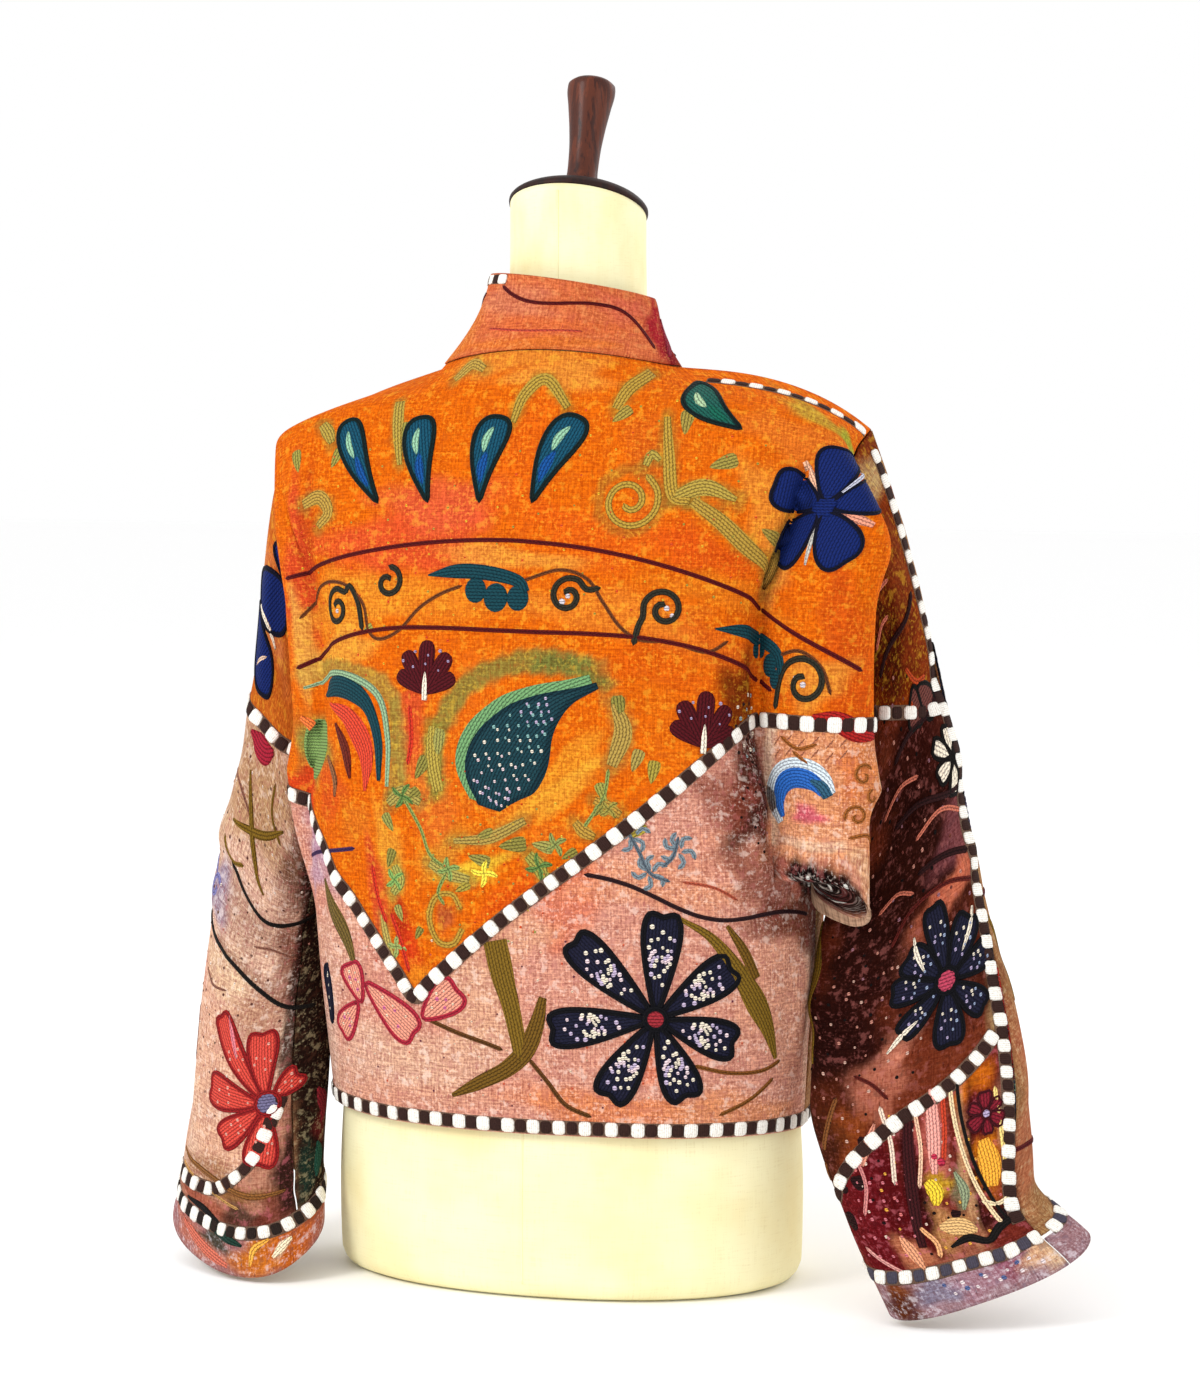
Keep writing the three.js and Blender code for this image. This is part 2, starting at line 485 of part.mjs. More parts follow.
add('form_finial', loft([[13.5, 16.7], [11.8, 21], [11, 30], [11.4, 45], [13, 62], [15.6, 80], [17.4, 92], [17.2, 96],
  [14, 99]].map(([r, h]) => tilted(r, h))), '#5a2a17', 0.35);

export default part;
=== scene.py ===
"""Cropped patchwork jacket on a limbless dress form: the finish of every surface.

Lengths are in millimetres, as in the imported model, and become metres when a mesh is made.
Each stretch of cloth is a Cloth: a surface that is also charted flat, with x to the right and
y upwards as one looks at it from outside, so that a motif is placed as an embroiderer would.
"""
import math

import bpy
import numpy as np
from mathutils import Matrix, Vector


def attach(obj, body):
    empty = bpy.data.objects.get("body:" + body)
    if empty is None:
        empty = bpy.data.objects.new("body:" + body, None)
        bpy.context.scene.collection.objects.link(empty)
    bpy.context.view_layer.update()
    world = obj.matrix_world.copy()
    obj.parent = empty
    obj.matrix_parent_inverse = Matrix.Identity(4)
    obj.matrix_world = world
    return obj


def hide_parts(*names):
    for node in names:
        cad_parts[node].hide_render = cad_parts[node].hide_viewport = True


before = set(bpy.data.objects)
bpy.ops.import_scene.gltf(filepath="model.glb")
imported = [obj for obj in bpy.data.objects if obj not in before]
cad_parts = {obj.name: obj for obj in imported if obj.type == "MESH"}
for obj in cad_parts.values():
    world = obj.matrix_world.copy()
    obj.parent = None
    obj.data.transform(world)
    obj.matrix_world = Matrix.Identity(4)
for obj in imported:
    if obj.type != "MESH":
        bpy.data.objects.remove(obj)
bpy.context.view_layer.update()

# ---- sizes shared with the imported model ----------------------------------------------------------
WALL = 1.6                   # thickness of the cloth that shows
ARMPIT = 0.42                # level at which the side seam meets the armhole
NECK_SHARE = 0.25
NECK = dict(side=86, y=18, back=62, front=98, z=655, z_back=666, z_front=612)
COLLAR = dict(rx=60, ry=64, y=-12, z=711, swing=169.2)
CAP_TILT = math.radians(20)
NECK_TOP = dict(y=-20, z=767, r=49)

# body levels from the hem up: level, height behind and in front, depth behind and in front, squareness
LEVELS = [
    dict(v=0.00, z=120, zf=120, back=117, front=116, n=2.3),
    dict(v=0.14, z=196, zf=192, back=122, front=120, n=2.4),
    dict(v=0.28, z=270, zf=262, back=127, front=123, n=2.5),
    dict(v=0.42, z=340, zf=330, back=130, front=124, n=2.6),
    dict(v=0.56, z=415, zf=400, back=131, front=122, n=2.6),
    dict(v=0.70, z=490, zf=468, back=124, front=114, n=2.6),
    dict(v=0.84, z=570, zf=535, back=106, front=104, n=2.6),
    dict(v=0.93, z=630, zf=580, back=90, front=92, n=2.6),]
# side seam and armhole at the same levels, then the shoulder point: out, y behind, y in front, height
SIDE = dict(
    right=[(175, 0, 0, 114), (180, 0, 0, 192), (184, 0, 0, 268), (185, 4, -4, 332), (176, 14, -42, 402),
    (178, 28, -60, 482), (206, 44, -54, 560), (217, 28, -30, 597), (220, -4, -4, 611)],
    left=[(175, 0, 0, 126), (181, 0, 0, 198), (186, 0, 0, 268), (187, 2.5, -2.5, 335), (172, 24, -42, 405),
    (174, 36, -60, 480), (198, 46, -54, 552), (212, 26, -30, 588), (216, -4, -4, 601)])
SHOULDER_LINE = dict(right=0.26, left=0.75)
FOLD = dict(
    right=dict(start=0.72, rx=43, ry=25, a=50, b=-196, low=(0.335, 0.36), high=(0.76, 0.93), dent=11),
    left=dict(start=0.80, rx=22, ry=16, a=15, b=-186, low=(0.24, 0.44), high=(0.72, 0.92), dent=0))
POUCH = dict(level=0.365, spread=0.02, drop=44, under=0.335, under_spread=0.012, rise=14)
# sleeve rings: out, y, z, half width (x, y, z), half depth, its fall, seam angle
RINGS = dict(
    right=[(229, -14, 368, 39, -8, 62, 30, -4, 6), (246, -5, 266, 53, -11, 28, 34, -6, 14),
    (264, 22, 157, 72, -20, 14, 38, -8, 34), (286, 54, 80, 62, -22, 12, 34, -9, 43),
    (325, 76, 34, 66, -20, 26, 30, -10, 43)],
    left=[(218, -8, 368, 27, -6, 62, 33, -4, 6), (231, 0, 276, 34, -21, 28, 35, -5, 14),
    (235, 17, 160, 44, -49, 6, 41, -7, 30), (229, 47, 84, 50, -46, 8, 43, -12, 35),
    (227, 64, 36, 61, -46, 16, 42, -27, 35)])
RING_AT = [0, 0.26, 0.47, 0.70, 0.86, 1]
RING_N = 2.3
# the V seam of the yoke, the over-arm joint, the cuff patch and the cuff band
V_SEAM = dict(tip=0.235, level=0.170, right=0.565, left=0.45)
JOINT = dict(right=0.275, left=0.285)
PATCH = dict(right=(0.62, 0.845, 1.0), left=(0.893, 0.72, 3.5))
CUFF = 0.935


# ---- the cloth's surfaces, each a function of arrays ---------------------------------------------
def ease(low, high, x):
    q = np.clip((x - low) / (high - low), 0, 1)
    return q * q * (3 - 2 * q)


def sgn_pow(x, p):
    return np.sign(x) * np.abs(x) ** p


def vec(*parts):
    return np.stack(np.broadcast_arrays(*parts), -1).astype(float)


def through(knots, points, t, first=None):
    """Smooth curve through points at uneven knots, never past them; first() fixes the start."""
    knots = np.asarray(knots, float)
    p = np.stack(np.broadcast_arrays(*points))
    gap = np.diff(knots).reshape((-1,) + (1,) * (p.ndim - 1))
    slope = np.diff(p, axis=0) / gap
    before, after = slope[:-1], slope[1:]
    w0, w1 = 2 * gap[1:] + gap[:-1], gap[1:] + 2 * gap[:-1]
    turns = before * after <= 0
    safe = lambda d: np.where(turns, 1.0, d)
    inner = np.where(turns, 0, (w0 + w1) / (w0 / safe(before) + w1 / safe(after)))
    start = slope[:1] if first is None else first(slope[0])[None]
    tangent = np.concatenate([start, inner, slope[-1:]])
    k = np.clip(np.searchsorted(knots, t, side="left") - 1, 0, len(knots) - 2)
    h = np.diff(knots)[k][..., None]
    q = (np.asarray(t) - knots[k])[..., None] / h
    take = lambda rows, i: np.take_along_axis(rows, np.broadcast_to(i[..., None], p.shape[1:])[None], 0)[0]
    return (take(p, k) * (2 * q ** 3 - 3 * q ** 2 + 1) + take(tangent, k) * (q ** 3 - 2 * q ** 2 + q) * h
            + take(p, k + 1) * (3 * q ** 2 - 2 * q ** 3) + take(tangent, k + 1) * (q ** 3 - q ** 2) * h)


def quarter(u, n):
    """Quarter of a squarish oval: share of the half width and of the depth at u."""
    a = np.clip(np.abs(u), 0, 1) * np.pi / 2
    return np.sin(a) ** (2 / n), np.cos(a) ** (2 / n)


def plain_body(u, v, front):
    """Body before its folds: u from -1 (right side) to 1 (left side), v from 0 (hem) to 1 (neck)."""
    u, v = np.broadcast_arrays(np.asarray(u, float), np.asarray(v, float))
    sign = np.where(u >= 0, 1.0, -1.0)
    side = lambda k, i: np.where(u >= 0, SIDE["left"][k][i], SIDE["right"][k][i])
    rows = []
    for k, level in enumerate(LEVELS):
        f, g = quarter(u, level["n"])
        y = side(k, 2 if front else 1)
        depth = -level["front"] if front else level["back"]
        z = level["zf"] if front else level["z"]
        rows.append(vec(sign * side(k, 0) * f, y + (depth - y) * g, z + (side(k, 3) - z) * u * u))
    f, fn = quarter(u, 2.6)[0], quarter(NECK_SHARE, 2.6)[0]
    w = np.clip((f - fn) / (1 - fn), 0, 1)
    a = np.clip(np.abs(u) / NECK_SHARE, 0, 1) * np.pi / 2
    neck_y = NECK["y"] + (-NECK["front"] if front else NECK["back"]) * np.cos(a)
    fall = (NECK["z_front"] - NECK["z"]) * np.cos(a) ** 1.5 if front \
        else (NECK["z_back"] - NECK["z"]) * np.cos(a) ** 2
    c = np.where(u >= 0, SHOULDER_LINE["left"], SHOULDER_LINE["right"])
    rows.append(
        vec(sign * (NECK["side"] * np.sin(a) + (side(8, 0) - NECK["side"]) * w),
        neck_y + (side(8, 1) - NECK["y"]) * w, NECK["z"] + fall - (NECK["z"] - side(8, 3))
        * (c * w + (1 - c) * w ** 3)))
    return through([level["v"] for level in LEVELS] + [1], rows, v)


def body_back(u, v):
    """Back with the turned fold behind each armhole and the hanging pouch on the right."""
    u, v = np.broadcast_arrays(np.asarray(u, float), np.asarray(v, float))
    p = plain_body(u, v, False)
    for side, sign in (("right", -1), ("left", 1)):
        fold = FOLD[side]
        au = np.where(np.sign(u) == sign, np.abs(u), 0.0)
        near_seam = ease(0.82, 0.97, au) * (1 - ease(ARMPIT, ARMPIT + 0.06, v))
        k = ease(*fold["low"], v) * (1 - ease(*fold["high"], v)) * (1 - near_seam)
        dent = fold["dent"] * k * np.exp(-((au - fold["start"]) / 0.035) ** 2)
        start = plain_body(fold["start"] * sign, v, False)
        end = plain_body(float(sign), v, False)
        q = np.clip((au - fold["start"]) / (1 - fold["start"]), 0, 1)
        a, b = math.radians(fold["a"]), math.radians(fold["b"])
        heading = a - q * (a - b)
        across = lambda h: start[..., 0] * sign + fold["rx"] * (np.sin(a) - np.sin(h))
        deep = lambda h: start[..., 1] + fold["ry"] * (np.cos(h) - np.cos(a))
        x = across(heading) + (end[..., 0] * sign - across(b)) * q * q - dent * 0.5
        y = deep(heading) + (end[..., 1] - deep(b)) * q * q - dent
        z = p[..., 2]
        if side == "right":
            wide = np.sin(np.pi * q) ** 0.7 * (0.25 + 0.75 * ease(0.25, 0.6, q))
            lift = POUCH["rise"] * np.exp(-((v - POUCH["under"]) / POUCH["under_spread"]) ** 2)
            drop = POUCH["drop"] * np.exp(-((v - POUCH["level"]) / POUCH["spread"]) ** 2)
            z = z + wide * (lift - drop)
        turned = vec(sign * (p[..., 0] * sign * (1 - k) + x * k), p[..., 1] * (1 - k) + y * k, z)
        before = p - vec(sign * dent * 0.5, dent, 0 * dent)
        beyond = (au > fold["start"])[..., None]
        here = (au > 0)[..., None] & (k > 0)[..., None]
        p = np.where(here & beyond, turned, np.where(here, before, p))
    return p


def body_front(u, v):
    return plain_body(u, v, True)


def armhole(side, t):
    sign = 1.0 if side == "left" else -1.0
    back = t <= 1
    level = 1 - (1 - ARMPIT) * np.where(back, t, 2 - t)
    return np.where(back[..., None], plain_body(sign, level, False), plain_body(sign, level, True))


def sleeve_point(side, t_in, s):
    """Sleeve: t 0 shoulder, 1 underarm by the back, 2 shoulder again; s 0 armhole to 1 cuff."""
    t_in, s = np.broadcast_arrays(np.asarray(t_in, float), np.asarray(s, float))
    sign = 1.0 if side == "left" else -1.0
    t = np.mod(t_in, 2)
    top = np.abs(1 - t)
    back = t < 1
    swell = np.where(back, np.maximum(np.sin(np.pi * t), 0), 0)
    rings = [armhole(side, t) - vec(0 * t, 2.6 * swell ** 0.5, 0 * t)]
    for out, y, z, mx, my, mz, d, dz, seam in RINGS[side]:
        s0 = math.radians(seam)
        a = np.where(t <= 1, s0 + (np.pi - s0) * t, np.pi + (np.pi + s0) * (t - 1))
        across = np.array([-my * sign, mx, 0.0])
        across *= d / np.linalg.norm(across)
        across[2] = dz
        rings.append(
            np.array([out * sign, y, z]) + np.array([mx * sign, my, mz])
            * sgn_pow(np.cos(a), 2 / RING_N)[..., None] + across * sgn_pow(np.sin(a), 2 / RING_N)[..., None])
    tuck = np.where(back, -0.75 * swell * (1 - t ** 3), 0)
    heading = vec(sign * (0.80 - 0.42 * top), tuck, -(0.60 + 0.32 * top))
    first = lambda d: heading * (np.linalg.norm(d, axis=-1) * (0.9 + 0.1 * top))[..., None]
    return through(RING_AT, rings, s, first)


def collar_point(a, h):
    """Stand collar: a -1 to 1 from the right front edge round the back, h 0 to 1 upwards."""
    a, h = np.broadcast_arrays(np.asarray(a, float), np.asarray(h, float))
    th = a * math.radians(COLLAR["swing"])
    c, s = np.cos(th), np.sin(th)
    behind = c > 0
    fall = np.where(behind, (NECK["z_back"] - NECK["z"]) * c * c,
                    (NECK["z_front"] - NECK["z"]) * np.abs(c) ** 1.5)
    base = vec(NECK["side"] * s, NECK["y"] + np.where(behind, NECK["back"], NECK["front"]) * c,
               NECK["z"] + 1.2 + fall)
    top = vec(COLLAR["rx"] * s, COLLAR["y"] + COLLAR["ry"] * c,
              COLLAR["z"] + 8 * s + np.where(behind, 6, 42) * c)
    g = h + 0.18 * np.sin(np.pi * h)
    share = vec(g, g, h)
    return base + (top - base) * share


def v_level(u):
    """Level of the V seam of the yoke: straight in width from its tip to both sides."""
    w = lambda x: np.sign(x) * quarter(x, 2.5)[0]
    tip, crease = w(V_SEAM["tip"]), w(-FOLD["right"]["start"])
    left = (V_SEAM["left"] - V_SEAM["level"]) * (w(u) - tip) / (1 - tip)
    right = (V_SEAM["right"] - V_SEAM["level"]) * np.clip((tip - w(u)) / (tip - crease), 0, 1)
    return V_SEAM["level"] + np.where(np.asarray(u) > V_SEAM["tip"], left, right)


# ---- a stretch of cloth and its flat chart -------------------------------------------------------
class Cloth:
    """A surface of (a, b) with a flat chart: x along its rows from a_zero, y up its middle column."""

    STEP = 2.0

    def __init__(self, point, a, b, a_zero, x_way, y_way, out_way, creases=(), slack=0.0, seed=1.0):
        self.point, self.out_way, self.x_way = point, out_way, x_way
        self.creases, self.slack, self.seed = creases, slack, seed
        self.a, self.b = np.asarray(a, float), np.asarray(b, float)
        p = point(self.a[None, :], self.b[:, None])
        run = np.concatenate([np.zeros((len(b), 1)), np.cumsum(np.linalg.norm(np.diff(p, axis=1), axis=2),
                                                               1)], 1)
        zero = np.array([np.interp(a_zero, self.a, row) for row in run])
        self.rows = (run - zero[:, None]) * x_way
        middle = point(np.full(len(b), float(a_zero)), self.b)
        rise = np.concatenate([[0], np.cumsum(np.linalg.norm(np.diff(middle, axis=0), axis=1))])
        self.y_of_b = rise if y_way > 0 else rise[-1] - rise
        self.high = rise[-1]
        self.x = np.arange(self.rows.min(), self.rows.max() + self.STEP, self.STEP)
        self.a_of = np.array([np.interp(self.x, row[::x_way], self.a[::x_way]) for row in self.rows])

    def xy(self, a, b):
        """Chart place of a point of the surface."""
        a, b = np.broadcast_arrays(np.asarray(a, float), np.asarray(b, float))
        i = np.interp(a, self.a, np.arange(len(self.a)))
        j = np.interp(b, self.b, np.arange(len(self.b)))
        return self.between(self.rows, j, i), np.interp(b, self.b, self.y_of_b)

    @staticmethod
    def between(grid, j, i):
        j0 = np.clip(j.astype(int), 0, grid.shape[0] - 2)
        i0 = np.clip(i.astype(int), 0, grid.shape[1] - 2)
        q, r = np.clip(j - j0, 0, 1), np.clip(i - i0, 0, 1)
        return ((grid[j0, i0] * (1 - r) + grid[j0, i0 + 1] * r) * (1 - q)
                + (grid[j0 + 1, i0] * (1 - r) + grid[j0 + 1, i0 + 1] * r) * q)

    def ab(self, x, y):
        """Point of the surface at a chart place."""
        x, y = np.broadcast_arrays(np.asarray(x, float), np.asarray(y, float))
        way = 1 if self.y_of_b[-1] > self.y_of_b[0] else -1
        b = np.interp(y, self.y_of_b[::way], self.b[::way])
        j = np.interp(b, self.b, np.arange(len(self.b)))
        return self.between(self.a_of, j, (x - self.x[0]) / self.STEP), b

    def creased(self, x, y):
        """Height of the creases: soft troughs and ridges, and the slack of hand-sewn cloth."""
        total = np.zeros(np.shape(x))
        for cx, cy, turn, long, wide, deep, bow in self.creases:
            c, s = math.cos(math.radians(turn)), math.sin(math.radians(turn))
            along = ((x - cx) * c + (y - cy) * s) / long
            across = -(x - cx) * s + (y - cy) * c - bow * along * along
            fade = np.clip(1 - along * along, 0, 1) ** 1.5
            lean = np.where(across > 0, 1.25, 0.8) * wide
            total = total + deep * fade * np.exp(-(across / lean) ** 2)
        if self.slack:
            k = self.seed
            total = total + self.slack * (
                np.sin(x / 31 + 1.3 * np.sin(y / 47 + k) + k) * np.sin(y / 38 + 1.1 * np.sin(x / 53 + 2 * k))
                + 0.45 * np.sin(x / 13.5 + 2.1 * k) * np.sin(y / 17.5 + 0.7 * k))
        return total

    def surface(self, a, b, lift=0.0):
        """Points of the creased surface, lift mm outside it."""
        a, b = np.broadcast_arrays(np.asarray(a, float), np.asarray(b, float))
        e = 2e-3
        along = self.point(a + e, b) - self.point(a - e, b)
        up = self.point(a, b + e) - self.point(a, b - e)
        n = np.cross(along, up) * self.out_way
        n /= np.maximum(np.linalg.norm(n, axis=-1, keepdims=True), 1e-9)
        x, y = self.xy(a, b)
        return self.point(a, b) + n * (self.creased(x, y) + lift)[..., None]

    def at(self, x, y, lift=0.0):
        return self.surface(*self.ab(x, y), lift)


def spaced(low, high, n, crowd=1.0):
    q = np.linspace(-1, 1, n)
    return low + (high - low) * (sgn_pow(q, crowd) + 1) / 2


# ---- the five stretches of cloth and their creases -----------------------------------------------
# each crease: x, y, turn in degrees, half length, width, height (below 0 a trough), bow
BACK_CREASES = [
    (238, 470, 118, 70, 13, 3.2, 5), (196, 462, 108, 62, 12, -2.6, -6), (176, 330, 96, 90, 14, -4.2, 8),
    (152, 250, 60, 66, 13, -5.0, 6), (128, 262, 48, 48, 10, 2.6, -4), (88, 330, 74, 58, 15, 2.2, 6),
    (34, 510, 84, 44, 12, -1.5, 3), (-6, 440, 88, 96, 17, 1.8, -4), (-196, 396, 84, 110, 12, 3.4, 4),
    (-170, 330, 80, 88, 13, -3.6, -5), (-128, 236, 70, 66, 12, -3.0, 6), (-150, 150, 82, 96, 13, 3.6, -6),
    (-176, 120, 86, 84, 10, -3.0, 4), (-60, 180, 64, 50, 14, 2.4, 5), (20, 214, 38, 54, 14, -2.2, 4),
    (176, 186, 12, 60, 10, 3.8, -7), (196, 160, 8, 52, 10, -3.2, -6), (226, 92, 82, 76, 11, 3.0, 6),
    (206, 60, 98, 60, 11, -2.2, -4), (24, 40, 84, 46, 12, 1.8, 3), (-24, 46, 96, 42, 11, -1.5, -3),
    (120, 26, 80, 34, 12, 1.5, 3), (64, 30, 94, 32, 10, -1.2, 2), (-100, 34, 88, 40, 11, 1.6, -3),]
FRONT_CREASES = [
    (-160, 400, 62, 90, 15, 3.4, 8), (-190, 350, 70, 80, 14, -3.8, 6), (-120, 300, 80, 90, 17, 2.8, -6),
    (-205, 240, 84, 84, 13, 3.8, 5), (-170, 160, 86, 86, 14, -3.4, -5), (-90, 140, 94, 84, 16, 2.4, 4),
    (160, 405, 116, 86, 15, 3.6, -8), (188, 345, 108, 84, 14, -3.6, -6), (118, 290, 98, 88, 16, 2.6, 6),
    (206, 230, 96, 80, 13, 3.6, -5), (168, 150, 92, 88, 14, -3.2, 6), (84, 130, 88, 80, 16, 2.2, -4),
    (-60, 60, 92, 44, 12, 1.5, 3), (60, 56, 88, 44, 12, -1.4, 3),]
RIGHT_CREASES = [
    (60, 440, 62, 56, 12, -4.0, 5), (30, 402, 40, 60, 12, 4.4, 7), (70, 372, 22, 54, 11, -4.4, -6),
    (52, 330, 12, 62, 12, 4.6, 8), (30, 300, -14, 58, 11, -4.2, 6), (64, 286, 16, 50, 10, 3.4, -6),
    (12, 236, 66, 50, 11, 3.0, -5), (-26, 190, 58, 62, 12, -4.2, 6), (-52, 230, 40, 66, 13, 4.0, 7),
    (30, 116, 84, 72, 9, 3.2, 4), (14, 104, 86, 66, 8, -3.0, -3), (54, 96, 92, 66, 8, -3.2, 4),
    (-18, 70, 78, 50, 9, 2.6, 4), (72, 24, 60, 26, 7, 3.6, 3), (52, 18, 74, 22, 6, -3.0, 3),
    (20, 16, 84, 22, 7, 2.4, 2), (-12, 18, 96, 22, 6, -2.2, -3), (-160, 300, 30, 80, 14, 4.2, 8),
    (-180, 240, 18, 74, 13, -4.0, -7), (-120, 160, 60, 70, 12, 3.2, 6), (-220, 140, 80, 80, 13, 3.0, 5),
    (-300, 300, 20, 70, 13, -3.4, 6), (-320, 220, 34, 70, 13, 3.6, 6), (-260, 80, 84, 60, 10, -2.6, 4),
    (110, 260, 70, 80, 11, -3.0, 5), (128, 170, 84, 80, 11, 2.6, -4), (-58, 200, 88, 84, 22, 4.5, 0),
    (-70, 262, 88, 56, 20, 7.5, 0)]
LEFT_CREASES = [
    (-60, 440, 110, 60, 12, 3.2, 5), (-38, 360, 60, 54, 11, -3.6, 6), (-28, 336, 122, 52, 11, 3.8, 6),
    (10, 310, 48, 56, 11, -3.8, 7), (-40, 292, 12, 60, 11, 4.6, 8), (20, 268, -12, 66, 10, -4.6, 7),
    (-20, 246, -22, 62, 11, 4.2, 8), (44, 214, -28, 62, 11, -3.8, 6), (-14, 190, 76, 64, 12, 2.6, 4),
    (36, 150, 86, 66, 12, -2.4, 4), (-40, 112, 96, 60, 11, 2.8, 4), (28, 66, -6, 60, 9, 3.8, 6),
    (4, 50, -12, 52, 8, -3.6, 5), (56, 52, 12, 40, 8, -3.0, 4), (14, 18, 88, 20, 7, 2.2, 2),
    (48, 16, 80, 20, 7, -2.2, 2), (150, 300, 24, 80, 14, 4.0, 8), (180, 230, 34, 74, 13, -3.8, -7),
    (140, 120, 74, 70, 12, 3.0, 6), (260, 260, 16, 70, 13, 3.4, 6), (300, 150, 60, 74, 12, -3.2, 5),
    (360, 330, 70, 70, 12, 3.0, 5), (-110, 250, 84, 90, 12, -2.8, 5), (-126, 130, 96, 80, 11, 2.8, 4),
    (98, 170, 90, 96, 25, 7.0, 0)]
COLLAR_CREASES = [(-60, 28, 70, 30, 9, 1.6, 3), (46, 30, 112, 30, 9, -1.4, 3), (150, 28, 80, 28, 9, 1.5, 2)]

CHART_U = spaced(-1, 1, 421, 1.25)
CHART_V = np.linspace(0, 1, 201)
CHART_T = np.linspace(0, 2, 241)
back = Cloth(body_back, CHART_U, CHART_V, 0.0, -1, 1, -1, BACK_CREASES, 0.5, 1.0)
front = Cloth(body_front, CHART_U, CHART_V, 0.0, 1, 1, 1, FRONT_CREASES, 0.5, 2.0)
sleeve = dict(
    right=Cloth(lambda t, s: sleeve_point("right", t, s), CHART_T, CHART_V, 0.5, -1, -1, 1, RIGHT_CREASES,
    0.6, 3.0), left=Cloth(lambda t, s: sleeve_point("left", t, s), CHART_T, CHART_V, 0.5, 1, -1, -1,
    LEFT_CREASES, 0.6, 4.0))
collar = Cloth(collar_point, np.linspace(-1, 1, 181), np.linspace(0, 1, 31), 0.0, -1, 1, -1, COLLAR_CREASES,
               0.3, 5.0)


# ---- colours -------------------------------------------------------------------------------------
def hue(name):
    """Linear colour of a six-figure tint."""
    s = [int(name[i:i + 2], 16) / 255 for i in (1, 3, 5)]
    return np.array([c / 12.92 if c <= 0.04045 else ((c + 0.055) / 1.055) ** 2.4 for c in s])


def dyed(x, y, ground, spots):
    """Colour at chart places: hand-dyed ground, then soft spots and strokes in turn, some of them painted
    shade.

    A spot is x, y, half length, half width, turn, tint, depth; a stroke is points, half width, tint, depth.
    """
    colour = np.broadcast_to(hue(ground), np.shape(x) + (3,)).copy()
    for spot in spots:
        if len(spot) == 4:
            way, half, tint, depth = spot
            dense, _ = curve(way, 3.0)
            near = np.nonzero(
                np.all([x > dense[:, 0].min() - 2 * half, x < dense[:, 0].max() + 2 * half,
                y > dense[:, 1].min() - 2 * half, y < dense[:, 1].max() + 2 * half], 0))[0]
            far = np.hypot(x[near, None] - dense[:, 0], y[near, None] - dense[:, 1]).min(1)
            ragged = 1 + 0.25 * np.sin(x[near] / 3.7 + y[near] / 5.1) * np.sin(x[near] / 4.3 - y[near] / 3.9)
            cover = np.zeros(len(x))
            cover[near] = depth * (1 - ease(0.6, 1.3, far * ragged / half))
        else:
            cx, cy, long, wide, turn, tint, depth = spot
            c, s = math.cos(math.radians(turn)), math.sin(math.radians(turn))
            along = ((x - cx) * c + (y - cy) * s) / long
            across = (-(x - cx) * s + (y - cy) * c) / wide
            angle = np.arctan2(across, along)
            ragged = 1 + 0.20 * np.sin(3 * angle + cx) + 0.13 * np.sin(5 * angle + cy) \
                + 0.10 * np.sin(x / 6.1 + cy) * np.sin(y / 5.3 + cx)
            cover = depth * (1 - ease(0.55, 1.2, np.hypot(along, across) * ragged))
        colour += (hue(tint) - colour) * cover[..., None]
    return colour


# ---- meshes --------------------------------------------------------------------------------------
MM = 0.001


def make_piece(name, points, faces, material, kinds=None, vectors=(), colour=None, nodes=()):
    """One named piece of the object, from points in millimetres, riding on the only body."""
    mesh = bpy.data.meshes.new(name)
    mesh.from_pydata((np.asarray(points) * MM).tolist(), [], faces)
    for m in material if isinstance(material, (list, tuple)) else [material]:
        mesh.materials.append(m)
    mesh.polygons.foreach_set("use_smooth", np.ones(len(mesh.polygons), bool))
    if kinds is not None:
        mesh.polygons.foreach_set("material_index", np.asarray(kinds, np.int32))
    for field, values in dict(vectors).items():
        held = mesh.attributes.new(field, "FLOAT_VECTOR", "POINT")
        flat = np.zeros((len(values), 3), np.float32)
        flat[:, :np.shape(values)[1]] = values
        held.data.foreach_set("vector", flat.ravel())
    # colour of each point, from the dyes of cloth and thread, with painted shade in places
    if colour is not None:
        held = mesh.attributes.new("dye_and_shade", "FLOAT_COLOR", "POINT")
        held.data.foreach_set("color", np.c_[colour, np.ones(len(colour))].astype(np.float32).ravel())
    mesh.update()
    piece = bpy.data.objects.new(name, mesh)
    bpy.context.scene.collection.objects.link(piece)
    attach(piece, "root")
    if nodes:
        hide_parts(*nodes)
    return piece


def grid_quads(rows, cols, turned, start=0, wrap=False):
    """Quads of a grid of points, row by row, closed round its columns if it wraps."""
    j, i = np.meshgrid(np.arange(rows - 1), np.arange(cols if wrap else cols - 1), indexing="ij")
    k = (i + 1) % cols
    q = np.stack([j * cols + i, j * cols + k, (j + 1) * cols + k, (j + 1) * cols + i], -1).reshape(-1,
                                                                                                   4) + start
    return q[:, ::-1] if turned else q


def even_columns(cloth, low, high, step):
    """Values of a between low and high, about step mm apart along the cloth."""
    run = np.concatenate([[0], np.cumsum(np.linalg.norm(np.diff(
        cloth.point(cloth.a[None, :], np.linspace(0.2, 0.8, 7)[:, None]), axis=1), axis=2).mean(0))])
    ends = np.interp([low, high], cloth.a, run)
    n = max(3, int(round((ends[1] - ends[0]) / step)))
    a = np.interp(np.linspace(*ends, n + 1), run, cloth.a)
    a[0], a[-1] = low, high
    return a


